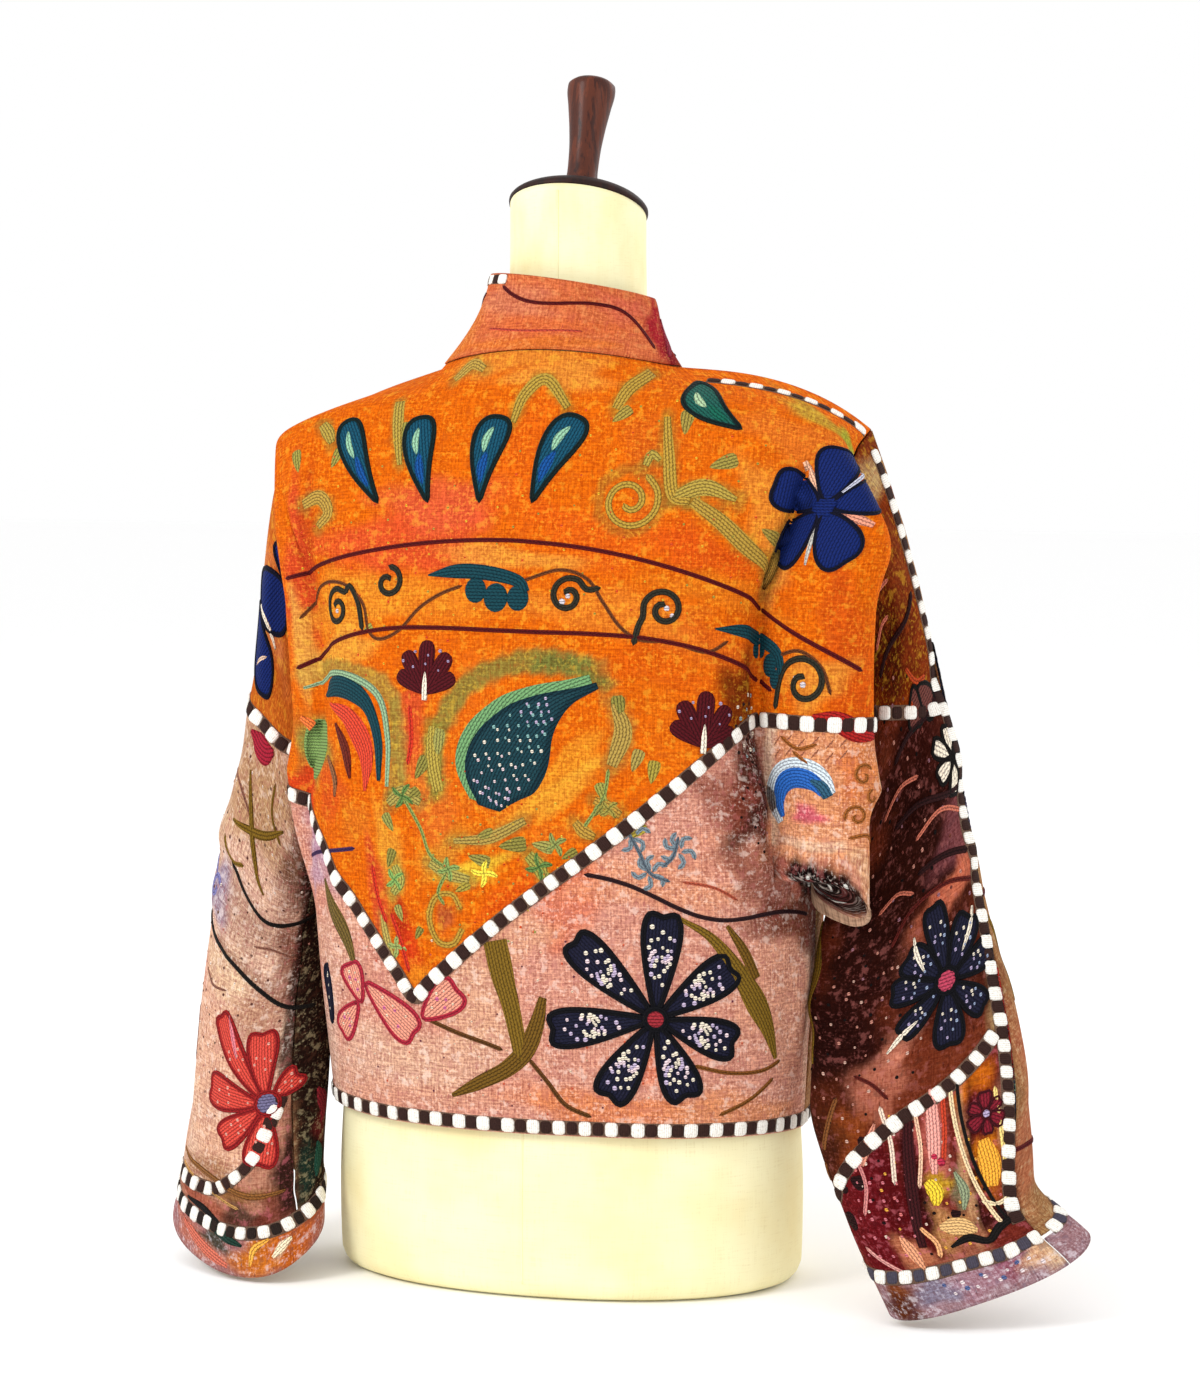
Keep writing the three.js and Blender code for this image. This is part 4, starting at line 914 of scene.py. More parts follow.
LOWER_DYE_AND_SHADE = [
    (-172, 200, 40, 22, 0, "#C4A6CC", 0.9), (-150, 176, 26, 18, 0, "#D9B7C4", 0.8),
    (-196, 176, 18, 20, 0, "#CDB4D6", 0.8),
    (-176, 120, 30, 60, 84, "#EAC4B0", 0.7), (-180, 60, 26, 50, 0, "#F6DCCB", 0.7),
    (-120, 40, 60, 26, 4, "#F2D2BD", 0.7),
    (-60, 50, 60, 24, 0, "#F0CBB2", 0.7), (-30, 92, 34, 40, 30, "#EFC6A8", 0.7),
    (-90, 20, 90, 12, 2, "#E9B49C", 0.6),
    (40, 190, 22, 26, 40, "#EE7F58", 0.8), (36, 160, 26, 22, 20, "#EC8763", 0.75),
    (60, 20, 70, 14, -4, "#F29A62", 0.8),
    (150, 16, 60, 16, 0, "#F0A878", 0.8), (96, 52, 30, 14, 0, "#F08A66", 0.7),
    (100, 180, 60, 20, -8, "#F2B08A", 0.7),
    # the dark brown spots of the next three lines are painted shade in the hollow beside the hanging fold
    (150, 200, 40, 20, 0, "#E9A98E", 0.6), (180, 186, 34, 22, 0, "#8E5548", 0.8),
    (176, 250, 24, 60, 0, "#42180F", 0.95),
    (150, 240, 22, 24, 40, "#8E4A3A", 0.7), (206, 166, 36, 12, 0, "#9A6258", 0.8),
    (196, 100, 40, 60, 0, "#EDB79A", 0.5),
    (236, 100, 14, 80, 0, "#F6D8C2", 0.7), (0, 140, 30, 20, 30, "#F0BE9C", 0.6),
    # the hanging fold: peach with pale sides, its pink and orange, and painted shade: near black in its
    # hollow, dark brown under it and beside it
    (250, 262, 62, 60, 0, "#F2B080", 1.0), (300, 262, 60, 70, 0, "#E9A070", 0.9),
    (244, 216, 50, 16, 0, "#F4B488", 0.9),
    (232, 232, 12, 8, 0, "#EE6F8C", 0.95), (268, 262, 14, 20, 0, "#F0843A", 0.6),
    (286, 240, 20, 50, 0, "#E2965A", 0.6),
    ([(203, 210), (200, 240), (200, 276), (206, 300)], 5, "#FBE6CC", 0.85),
    ([(296, 212), (300, 250), (298, 290)], 5, "#F6DDB8", 0.7),
    ([(214, 212), (236, 209), (258, 211)], 3.5, "#FBDCC0", 0.8), (300, 160, 90, 30, 0, "#4A2014", 1.0),
    (350, 200, 46, 90, 0, "#3A140C", 0.95), (228, 150, 60, 22, 0, "#7A4434", 0.9),
    ([(226, 186), (250, 184)], 17, "#120605", 1.0), ([(262, 190), (280, 184)], 8, "#1C0A07", 0.95),
    ([(212, 196), (210, 182), (220, 168)], 5, "#D98A78", 0.8),
    ([(268, 206), (284, 198), (300, 192)], 5, "#E8BE98", 0.85),
]
FRONT_RIGHT_DYE = [
    (-150, 420, 60, 40, 20, "#E58A3A", 0.8), (-60, 400, 50, 60, 0, "#D8A06A", 0.7),
    (-200, 300, 40, 70, 0, "#B97B52", 0.7), (-110, 250, 70, 50, 20, "#C9A070", 0.7),
    (-60, 160, 40, 60, 0, "#E0B48A", 0.7), (-190, 130, 60, 60, 0, "#C88A78", 0.7),
    (-120, 60, 80, 30, 0, "#D89A7A", 0.7), (-30, 300, 16, 80, 0, "#E9C79A", 0.6)]
FRONT_LEFT_DYE = [
    (150, 420, 60, 40, -20, "#E99440", 0.8), (60, 390, 50, 60, 0, "#DBA870", 0.7),
    (200, 300, 40, 70, 0, "#A87F5A", 0.7), (110, 240, 70, 50, -20, "#D4A47C", 0.7),
    (60, 160, 40, 60, 0, "#E3B890", 0.7), (190, 130, 60, 60, 0, "#C4907C", 0.7),
    (120, 60, 80, 30, 0, "#DDA684", 0.7), (30, 300, 16, 80, 0, "#EBCDA4", 0.6)]
# head of the right sleeve: the dark brown spots are painted shade; the orange and the pale spot are its own
# colours
HEAD_RIGHT_SHADE_AND_DYE = [
    (70, 488, 40, 16, 70, "#E07A24", 0.9), (60, 430, 40, 30, 60, "#6A2C12", 0.9),
    (90, 440, 18, 40, 0, "#8A4426", 0.8), (40, 440, 30, 30, 0, "#4A1C0C", 0.85),
    (84, 400, 20, 30, 0, "#8E3E1C", 0.7), (100, 500, 40, 14, 0, "#D8C9A0", 0.8)]
HEAD_LEFT_DYE = [(-60, 460, 60, 30, 70, "#D9702A", 0.8), (-90, 440, 26, 60, 84, "#E9A070", 0.7),
                 (-30, 470, 30, 40, 0, "#B4581E", 0.7)]
# back of the right sleeve: the near-black and dark brown spots are painted shade beside the hanging fold; the
# pink strokes and the mauve and pale spots are its own colours
ARM_RIGHT_SHADE_AND_DYE = [
    (56, 400, 40, 34, 40, "#6A2A10", 0.9), (80, 410, 18, 44, 20, "#C04E1A", 0.75),
    (40, 360, 46, 40, 0, "#32110B", 0.95), (70, 340, 26, 30, 0, "#4E241E", 0.85),
    (20, 310, 60, 44, 0, "#2A0F0A", 0.95), (64, 304, 26, 18, 20, "#84505A", 0.85),
    (78, 286, 18, 10, 20, "#5A4450", 0.85), ([(8, 246), (18, 264), (40, 274), (66, 284)], 8, "#E08468",
    0.95), (20, 246, 10, 20, 10, "#C9745C", 0.8), (-20, 260, 40, 50, 0, "#240B08", 0.95),
    (-30, 200, 34, 50, 0, "#2E0F0A", 0.95), ([(-16, 168), (2, 184), (14, 200)], 9, "#E39A84", 0.9),
    (-8, 164, 22, 24, 30, "#C07A66", 0.9), (-44, 150, 22, 36, 0, "#5A2A14", 0.85),
    (-28, 134, 14, 20, 0, "#A05426", 0.75), (-60, 110, 26, 50, 0, "#42200F", 0.85),
    (-90, 200, 60, 90, 0, "#260C08", 0.95), (-90, 360, 60, 80, 0, "#32110B", 0.95),
    (84, 200, 10, 40, 0, "#C9B98A", 0.7), (90, 340, 8, 60, 0, "#B07A4A", 0.6),
    (44, 226, 40, 46, 0, "#3A1812", 0.7), (60, 440, 20, 12, 30, "#8E3A12", 0.7)]
ARM_LEFT_DYE_AND_SHADE = [
    (-60, 470, 60, 30, 80, "#E0B098", 0.7), (-90, 380, 30, 60, 0, "#F2CDB8", 0.8),
    (-20, 340, 60, 36, 0, "#CBAA82", 0.85), (10, 370, 30, 34, 0, "#CFAE84", 0.85),
    # the dark brown spot at x 50 here and the one at x 54 below are painted shade of the sleeve's inner side
    (50, 340, 16, 60, 0, "#6A4230", 0.75), (-56, 300, 26, 40, 0, "#DCC4A8", 0.7),
    (-30, 262, 24, 18, 20, "#A9A6C8", 0.9), (10, 262, 40, 22, -20, "#C9AA98", 0.8),
    (54, 250, 18, 34, 0, "#8A5A4A", 0.8), (-56, 230, 20, 40, 0, "#F0B7B0", 0.85),
    (0, 210, 60, 20, -20, "#F0D8B8", 0.85), (34, 190, 24, 30, 0, "#C0907A", 0.7),
    (-20, 150, 60, 60, 0, "#F2C8AE", 0.8), (-50, 110, 22, 50, 0, "#F6DCC4", 0.8),
    (20, 92, 50, 24, 0, "#F0C4A6", 0.7), (0, 66, 60, 12, -6, "#A87A4C", 0.75),
    # the long near-black stroke that starts on this line is painted shade between the sleeve and the body
    (-90, 120, 40, 90, 0, "#EDBFA8", 0.7), ([(58, 340), (60, 280), (60, 240), (62, 190), (66, 140),
    (68, 90)], 8, "#2A1410", 0.9), ([(84, 90), (92, 76), (96, 60)], 9, "#7A2A2E", 0.95),
    ([(70, 92), (72, 60), (70, 36)], 5, "#3A2A20", 0.8),
    ([(-70, 340), (-66, 300), (-74, 262)], 5, "#6A4A2E", 0.6),
    ([(-20, 236), (20, 226), (50, 214)], 5, "#8E5E4E", 0.6)]
SLEEVE_FRONT_RIGHT_DYE = [
    (110, 300, 20, 150, 0, "#B79468", 0.8), (112, 150, 18, 60, 0, "#A8A06E", 0.9),
    (120, 90, 20, 40, 0, "#B8AE7C", 0.8), (-300, 300, 80, 90, 0, "#8A5038", 0.8),
    (-340, 180, 60, 60, 0, "#B98A5C", 0.7), (-240, 120, 50, 60, 0, "#C77A5E", 0.7),
    (-420, 300, 60, 80, 0, "#C48A5A", 0.7), (-400, 140, 60, 60, 0, "#D29A70", 0.7)]
SLEEVE_FRONT_LEFT_DYE_AND_SHADE = [
    # the wide near-black stroke down the front by the body is painted shade of the underarm; the green and
    # maroon spots are its own colours
    ([(76, 350), (74, 290), (78, 220), (86, 160), (90, 110), (92, 50)], 26, "#180A0A", 0.98),
    (80, 66, 12, 24, 0, "#1E3A34", 0.9), (96, 96, 9, 20, 0, "#6A1E26", 0.9),
    (-110, 300, 30, 120, 0, "#D8A88C", 0.7), (200, 300, 80, 90, 0, "#B98868", 0.7),
    (260, 160, 60, 60, 0, "#D0A27C", 0.7), (360, 300, 60, 90, 0, "#C48A64", 0.7),
    (330, 100, 50, 50, 0, "#8A4A3C", 0.7)]
PATCH_RIGHT_DYE = [
    (-6, 80, 26, 60, 8, "#6A141C", 0.95), (-30, 70, 26, 50, 0, "#7E1C28", 0.9),
    (8, 140, 10, 20, 30, "#D97F7A", 0.8), (14, 100, 8, 60, 4, "#3E0E12", 0.95),
    (32, 130, 9, 46, 0, "#E98C84", 0.95), (30, 92, 9, 10, 0, "#F3D23A", 0.95),
    (44, 84, 8, 16, 0, "#8E9A78", 0.95), (30, 58, 16, 16, 0, "#E8B87A", 0.95),
    (34, 40, 20, 10, 20, "#C98A70", 0.8), (62, 160, 16, 16, 0, "#F08A1E", 0.98),
    (68, 134, 16, 14, 0, "#7E1A2A", 0.98), (66, 100, 13, 24, 0, "#F39A1C", 0.98),
    (74, 74, 12, 12, 0, "#B5603C", 0.9), (60, 62, 18, 8, 30, "#3A1412", 0.85),
    (50, 110, 4, 66, -4, "#F6D0A0", 0.9), (56, 100, 3, 60, -4, "#3A1210", 0.9),
    (-2, 44, 12, 16, 0, "#E9A27C", 0.9), (84, 110, 5, 60, 0, "#E8D6B8", 0.8)]
PATCH_LEFT_DYE_AND_SHADE = [
    (-30, 60, 34, 12, -6, "#E8C8B0", 0.85), (10, 60, 40, 8, -6, "#B08A50", 0.85),
    (-20, 44, 44, 8, -6, "#C9755C", 0.8), (24, 40, 26, 10, 0, "#2A2A24", 0.8),
    # the last spot, near black at the inner edge of the patch, is painted shade of the sleeve front
    (50, 44, 14, 14, 0, "#8A4438", 0.8), (64, 66, 12, 40, 0, "#241010", 0.95)]
BAND_RIGHT_DYE = [
    (-26, 16, 12, 18, 0, "#8A4A16", 0.95), (-30, 8, 14, 12, 0, "#5A2A10", 0.8),
    (0, 16, 20, 10, 0, "#8F93B4", 0.8), (30, 16, 22, 12, 10, "#C09AB0", 0.8),
    (54, 20, 14, 10, 0, "#A65A78", 0.7), (82, 20, 20, 16, 0, "#F6CDA4", 0.98),
    (100, 16, 24, 14, 0, "#F9DDB8", 0.95), (-80, 16, 40, 20, 0, "#9A5A3A", 0.8),
    (-200, 16, 60, 20, 0, "#B08A94", 0.7)]
BAND_LEFT_DYE = [
    (-40, 16, 30, 10, 0, "#D98A74", 0.9), (-6, 20, 20, 8, 0, "#1F4A3C", 0.85),
    (-14, 10, 24, 8, 0, "#E29A84", 0.8), (44, 14, 30, 18, 0, "#E58A24", 0.95),
    (66, 14, 24, 18, 0, "#D9721C", 0.9), (56, 16, 7, 4, 30, "#FBE9C8", 0.98),
    (120, 16, 40, 18, 0, "#C96A3A", 0.7), (220, 16, 60, 20, 0, "#A87A84", 0.7),
    (-100, 16, 30, 18, 0, "#C88E94", 0.7)]
COLLAR_DYE = [
    (-30, 40, 40, 12, 0, "#E2907A", 0.8), (10, 20, 60, 10, 4, "#EE8050", 0.8),
    (60, 44, 26, 10, 0, "#E9786A", 0.7), (96, 28, 14, 34, 10, "#B5203C", 0.98),
    (112, 20, 14, 34, 0, "#8E1830", 0.95), (-84, 20, 26, 30, 0, "#F09A4A", 0.7),
    (-10, 6, 80, 6, 0, "#F28C3A", 0.7), (160, 28, 40, 30, 0, "#D98468", 0.7),
    (-160, 28, 50, 30, 0, "#D8906E", 0.7)]


# ---- panels: each ends a little short of the seam it is sewn to ----------------------------------
TALL, ARM_LONG = 545.0, 560.0
GAP_V, GAP_U, GAP_S, GAP_T = 0.35 / TALL, 0.0024, 0.35 / ARM_LONG, 0.0037
MEET = {side: (1 - float(v_level(sign))) / (1 - ARMPIT) for side, sign in (("right", -1.0), ("left", 1.0))}


def joint_edge(side, t):
    """Where the yoke cloth of the sleeve head meets the sleeve back, as a share of the sleeve."""
    return JOINT[side] * (1 - np.clip(t / MEET[side], 0, 1) ** 2.2)


def patch_edge(side, t):
    from_s, to_s, bend = PATCH[side]
    return from_s + (to_s - from_s) * np.maximum(t, 0) ** bend


def sleeve_start(t):
    return 0.001 + 0.026 * np.exp(-((t - 1) / 0.1) ** 2)


whole = (-1 + GAP_U, 1 - GAP_U)
yoke = panel("cut_back_yoke", back, whole, lambda u: v_level(u) + GAP_V, lambda u: 1 - GAP_V, "#F47C10",
             YOKE_DYE_AND_SHADE, marigold, step=2.8)
lower = panel("cut_back_lower", back, whole, lambda u: 0 * u, lambda u: v_level(u) - GAP_V, "#E8AE9C",
              LOWER_DYE_AND_SHADE, rose, step=3.0, crowd=(0.64, 0.055))
for side, ends, spots in (("right", (-1 + GAP_U, -0.03), FRONT_RIGHT_DYE),
                          ("left", (0.03, 1 - GAP_U), FRONT_LEFT_DYE)):
    panel("cut_front_" + side, front, ends, lambda u: 0 * u, lambda u: 1 - 2.5 * GAP_V,
                         "#B98F66", spots, tan)
heads, arms, cuff_patches, sleeve_fronts, bands = {}, {}, {}, {}, {}
# the right sleeve's grounds for its head and its back are darkened as painted shade; the left sleeve's
# grounds are their own colours
SLEEVE_DYES_AND_SHADE = dict(
    right=("#84380F", HEAD_RIGHT_SHADE_AND_DYE, "#7A3A24", ARM_RIGHT_SHADE_AND_DYE, "#8A3A30", PATCH_RIGHT_DYE, "#B08A60",
    SLEEVE_FRONT_RIGHT_DYE, "#B59AA8", BAND_RIGHT_DYE),
    left=("#D9792E", HEAD_LEFT_DYE, "#F0D2BE", ARM_LEFT_DYE_AND_SHADE, "#E0B09A", PATCH_LEFT_DYE_AND_SHADE, "#A88060",
    SLEEVE_FRONT_LEFT_DYE_AND_SHADE, "#BE8E8E", BAND_LEFT_DYE))
for side, cloth in sleeve.items():
    (head_ground_and_shade, head_dye_and_shade, arm_ground_and_shade, arm_dye_and_shade, patch_ground, patch_dye_and_shade,
     fore_ground, fore_dye_and_shade, band_ground, band_dye) = SLEEVE_DYES_AND_SHADE[side]
    joint = lambda t: joint_edge(side, t)
    edge = lambda t: patch_edge(side, t)
    under = 1 - 0.8 * GAP_T
    heads[side] = panel(
        "cut_sleeve_head_" + side, cloth, (GAP_T, MEET[side] - 0.02), lambda t: sleeve_start(t) + GAP_S,
        lambda t: joint(t) - GAP_S, head_ground_and_shade, head_dye_and_shade, marigold)
    arms[side] = panel(
        "cut_sleeve_back_" + side, cloth, (GAP_T, under),
        lambda t: np.maximum(joint(t), sleeve_start(t)) + GAP_S, lambda t: edge(t) - GAP_S, arm_ground_and_shade,
        arm_dye_and_shade, rose_painted_shade if side == "right" else rose)
    cuff_patches[side] = panel(
        "cut_cuff_patch_" + side, cloth, (GAP_T, under), lambda t: edge(t) + GAP_S,
        lambda t: CUFF - GAP_S + 0 * t, patch_ground, patch_dye_and_shade, maroon)
    sleeve_fronts[side] = panel(
        "cut_sleeve_front_" + side, cloth, (2 - under, 2 - GAP_T), lambda t: sleeve_start(t) + GAP_S,
        lambda t: CUFF - GAP_S + 0 * t, fore_ground, fore_dye_and_shade, tan)
    bands[side] = panel("cut_cuff_band_" + side, cloth, (GAP_T, 2 - GAP_T), lambda t: CUFF + 0.0065 + 0 * t,
                        lambda t: 1 + 0 * t, band_ground, band_dye, mauve, step=3.0)
neck_band = panel("cut_collar", collar, (-1, 1), lambda a: 0 * a, lambda a: 1 + 0 * a, "#E8835C", COLLAR_DYE,
                  salmon, step=3.0)


# ---- checked braids ------------------------------------------------------------------------------
CHECK_PITCH = 9.2            # length of one block of the braid
BRAID_WIDE = 11.0
BRAID_HIGH = 0.5             # height of the tape above the cloth
BLOCK_WHITE, BLOCK_DARK, TAPE = "#FDFBF4", "#37231F", "#6E5648"


def square_to(cloth, way):
    """Chart steps of one true millimetre ahead and square to that, and the true run to each point."""
    x, y = way.T
    reach = 0.6
    by_x = (cloth.at(x + reach, y) - cloth.at(x - reach, y)) / (2 * reach)
    by_y = (cloth.at(x, y + reach) - cloth.at(x, y - reach)) / (2 * reach)
    ahead = np.gradient(way, axis=0)
    true = by_x * ahead[:, :1] + by_y * ahead[:, 1:]
    side = np.stack([-(by_y * true).sum(-1), (by_x * true).sum(-1)], -1)
    ahead /= np.linalg.norm(true, axis=1, keepdims=True)
    side /= np.linalg.norm(by_x * side[:, :1] + by_y * side[:, 1:], axis=1, keepdims=True)
    steps = np.linalg.norm(np.diff(cloth.at(x, y), axis=0), axis=1)
    return ahead, side, np.concatenate([[0], np.cumsum(steps)])


def braid(name, cloth, way, wide=BRAID_WIDE, dark=BLOCK_DARK, raised=1.3, lift=BRAID_HIGH, skip=0.0,
          fray=0.0):
    """A tape along a way in the chart, with raised blocks that alternate in tint."""
    work = Needlework(name, cloth)
    way, _ = curve(way, 3.0)
    ahead, side, run = square_to(cloth, way)
    c = np.array([-1, -0.94, -0.5, 0, 0.5, 0.94, 1]) * wide / 2
    places = way[:, None] + side[:, None] * c[:, None]
    heights = np.broadcast_to(np.where(np.abs(c) > wide * 0.48, Needlework.SUNK, lift), places.shape[:2])
    faces = grid_quads(len(way), len(c), False, wrap=True)[:, ::-1].tolist()
    faces += [list(range(len(c))), list(range(len(way) * 7 - 1, len(way) * 7 - 8, -1))]
    work.lay(TAPE, places, heights, np.stack(np.broadcast_arrays(run[:, None], c), -1), faces)
    n = int((run[-1] - skip) / CHECK_PITCH)
    pitch = (run[-1] - skip) / max(n, 1)
    angle = np.arange(12) * 2 * np.pi / 12 + np.pi / 12
    for k in range(n):
        at = skip / 2 + (k + 0.5) * pitch
        middle = np.array([np.interp(at, run, way[:, i]) for i in (0, 1)])
        on, off = (np.array([np.interp(at, run, steps[:, i]) for i in (0, 1)]) for steps in (ahead, side))
        white = k % 2 == 0
        odd = math.sin(12.9 * k + 1.7 * len(name))
        long = pitch * (0.53 if white else 0.45) * (1 + 0.07 * odd)
        across = wide * (0.50 if white else 0.44) * (1 + fray * odd)
        corner = np.stack([sgn_pow(np.cos(angle), 0.5) * long, sgn_pow(np.sin(angle), 0.5) * across], -1)
        rings, rises = [], []
        for share, rise in ((1, -0.1), (0.9, 0.72), (0.55, 1.0)):
            rings.append(corner * share)
            rises.append(np.full(12, lift + (raised if white else raised * 0.62) * rise))
        local = np.concatenate(rings + [np.zeros((2, 2))])
        top = lift + (raised if white else raised * 0.62) * 1.04
        rises = np.concatenate(rises + [[top], [lift - 0.2]])
        faces = grid_quads(3, 12, False, wrap=True).tolist() + [[24 + i, 24 + (i + 1) % 12, 36]
                                                                for i in range(12)]
        faces += [[(i + 1) % 12, i, 37] for i in range(12)]
        shift = off * (fray * 2.2 * math.sin(7.3 * k))
        work.lay(BLOCK_WHITE if white else dark, middle + shift + local[:, :1] * on + local[:, 1:] * off,
                 rises, local + (at, 0), faces)
    return work.sew(braid_finish, ["trim_" + name[6:] if name.startswith("braid_") else name[5:]],
                    "checked_trim")


def seam_way(cloth, a, b, n=60):
    """A way in the chart along a seam given by its ends in a and in b, either of them a function."""
    if callable(b):
        a = np.linspace(*a, n)
        b = b(a)
    else:
        b = np.linspace(*b, n)
        a = np.full(n, float(a))
    x, y = cloth.xy(a, b)
    return np.stack([x, y], -1)[::3]


trims = {}
trims["v"] = braid("braid_v", back, seam_way(back, (-0.925, 0.915), v_level, 120), lift=0.9, fray=0.05)
level = lambda mm: mm / TALL
hem = level(5.75)
trims["hem_back"] = braid("sewn_hem_binding_back", back, seam_way(back, whole, lambda u: hem + 0 * u, 90),
                          wide=10.4)
for side, sign in (("right", -1), ("left", 1)):
    cloth = sleeve[side]
    ends = sorted((sign * 0.031, sign * (1 - GAP_U)))
    trims["hem_" + side] = braid("sewn_hem_binding_" + side, front,
                                 seam_way(front, ends, lambda u: hem + 0 * u), wide=10.4)
    trims["front_" + side] = braid(
        "braid_front_" + side, front, seam_way(front, sign * 0.0495, (level(14), 0.985), 90), wide=9.6,
        lift=0.7, fray=0.04)
    along = sorted((sign * 0.29, sign * 0.955))
    body = front if side == "left" else back
    trims["shoulder_" + side] = braid("braid_shoulder_" + side, body,
                                      seam_way(body, along, lambda u: 0.977 + 0 * u), wide=10, fray=0.10)
    over = 1.9565 if side == "left" else 0.0435
    trims["overarm_" + side] = braid("braid_overarm_" + side, cloth,
                                     seam_way(cloth, over, (0.016, CUFF - 0.018), 90), fray=0.10)
    trims["joint_" + side] = braid("braid_joint_" + side, cloth, seam_way(
        cloth, (0.09, MEET[side] * 0.82), lambda t, side=side: joint_edge(side, t), 48), fray=0.08)
    trims["patch_" + side] = braid("braid_patch_" + side, cloth, seam_way(
        cloth, (0.09, 0.98), lambda t, side=side: patch_edge(side, t), 60), fray=0.08)
    trims["cuff_" + side] = braid(
        "braid_cuff_" + side, cloth, seam_way(cloth, (0.006, 1.986), lambda t: CUFF + 0 * t, 120), wide=10.4,
        fray=0.10, dark="#4A4654" if side == "right" else "#2A201C")
trims["collar"] = braid("braid_collar", collar, seam_way(collar, (0.20, 0.985), lambda a: 0.925 + 0 * a, 90),
                        wide=7.4, lift=0.3, raised=0.9)


# ---- motifs, each drawn about its own origin -----------------------------------------------------
NAVY, BLUE, TEAL, DEEP_TEAL, BOTTLE = "#0A0C22", "#0C2264", "#0C4A62", "#0F3F4A", "#0A1E1E"
NIGHT, WINE, OXBLOOD, BRICK, CRIMSON = "#17182E", "#4E0A14", "#560C10", "#B3281F", "#A0283C"
OLIVE, MOSS, BARK = "#7A5E1A", "#5E8040", "#6B3A1C"
INK, SLATE, BONE, LILAC, MINT, ROSY = "#15110F", "#2B2A20", "#F4EAD6", "#B7A9CE", "#8FC0A0", "#E0808C"


def almond(work, tip, top, wide, body=TEAL, heart="#0E4C92", streak=MINT, bow=4.0):
    """A leaf from pointed tip to broad top: dark edge, teal body, blue heart, pale streak."""
    (x, y), across, up = tip, top[0] - tip[0], top[1] - tip[1]
    long, turn = math.hypot(across, up), math.degrees(math.atan2(up, across))
    outline = petal(long, wide * 1.3, 0, 0.1)
    outline[:, 1] += bow * np.sin(np.pi * outline[:, 0] / long)
    at = lambda *shares: turned([(long * k, bow * math.sin(math.pi * k) + off * wide) for k, off in shares],
                                x, y, turn)
    work.edged(body, BOTTLE, turned(outline, x, y, turn), 1.1, 0, turn, 2.0)
    work.line(heart, at((0.2, 0), (0.4, 0), (0.58, -0.05)), [0.8, wide * 0.17, wide * 0.2, 0.8], 1.5)
    work.line(streak, at((0.56, 0.06), (0.72, 0.1), (0.88, 0.02)), [0.8, wide * 0.15, wide * 0.13, 0.5], 1.7)


def petal(long, wide, lobes=0.0, waist=0.35, inner=0.0):
    """Outline of a petal along x from its foot at the origin, its broad end notched."""
    q = np.linspace(0, 2 * np.pi, 26, endpoint=False)
    x = long * (0.5 - 0.5 * np.cos(q))
    y = wide / 2 * sgn_pow(np.sin(q), 0.8) * (waist + (1 - waist) * (x / long) ** 0.9) * (1 + 0.2
                                                                                          * (x / long) ** 2)
    notch = 0.75 * lobes * np.exp(-((q - np.pi) / 0.3) ** 2)
    return np.stack([inner + x - notch, y], -1)


def spiral(x, y, r, turns, start, way=1, tail=()):
    """Points that wind in towards a place."""
    k = np.linspace(0, 1, int(9 * turns) + 2)
    a = math.radians(start) + way * k * turns * 2 * np.pi
    wound = np.stack([x + r * (1 - 0.82 * k) * np.cos(a), y + r * (1 - 0.82 * k) * np.sin(a)], -1)
    return np.concatenate([np.reshape(np.asarray(tail, float), (-1, 2)), wound])


def arched(x0, y0, x1, y1, rise, sway=0.0, waves=1.0, n=12):
    """Points from one place to another, bowed to the left by rise and swaying in whole or half waves."""
    k, long = np.linspace(0, 1, n), math.hypot(x1 - x0, y1 - y0)
    off = rise * np.sin(np.pi * k) + sway * np.sin(2 * np.pi * waves * k)
    return turned(np.stack([long * k, off], -1), x0, y0, math.degrees(math.atan2(y1 - y0, x1 - x0)))


def arc_of(x, y, r, start, end, n=9):
    """Points on part of a circle, between two angles in degrees."""
    a = np.radians(np.linspace(start, end, n))
    return np.stack([x + r * np.cos(a), y + r * np.sin(a)], -1)


def flower(work, x, y, petals, fill, border, wide, heart, heart_size=7, lobes=5.0, specks=None, n=10,
           waist=0.3, inner=5.0, border_half=1.4, speck=1.6):
    """Petals of their own lengths round a heart: rows of angle and length, or angle, length and width."""
    for angle, long, *own in petals:
        broad = own[0] if own else wide * (0.85 + 0.15 * math.sin(angle))
        outline = turned(petal(long - inner, broad, lobes, waist, inner), x, y, angle)
        work.edged(fill, border, outline, 1.0, 0.0, angle, border_half)
        for k, tint in enumerate(specks or ()):
            work.knots(tint, scattered(outline, n, 0.74)[k::len(specks)], speck, 0.7, 0.9)
    ring = np.arange(10) * 2 * np.pi / 10
    round_heart = np.stack([x + heart_size * np.cos(ring), y + heart_size * np.sin(ring)], -1)
    work.edged(heart, border, round_heart, 1.3, 0.3, 0, border_half)


def tulip(work, x, y, size, turn, fill=WINE, specks=LILAC, stem=BONE):
    """A fan of bead-like petals with a short pale stem up its middle."""
    for spread, long, broad in ((-58, 0.78, 0.42), (-30, 1.0, 0.46), (0, 1.12, 0.46), (30, 1.0, 0.46),
                                (58, 0.78, 0.42)):
        work.patch(fill, turned(petal(size * long, size * broad, 0, 0.3), x, y, turn + spread), 1.2, 0,
                   turn + spread)
    work.knots(
        specks, turned([(size * r, size * s) for r, s in ((0.5, -0.3), (0.55, 0.28), (0.8, -0.05),
        (0.66, 0.52), (0.7, -0.5), (0.86, 0.26), (0.9, -0.3), (0.62, 0.0))], x, y, turn), 1.4, 0.6, 1.1)
    work.line(stem, turned([(size * 0.5, 0), (size * 0.2, 0), (-size * 0.12, 0)], x, y, turn),
              [0.8, 2.4, 2.2], 1.5)


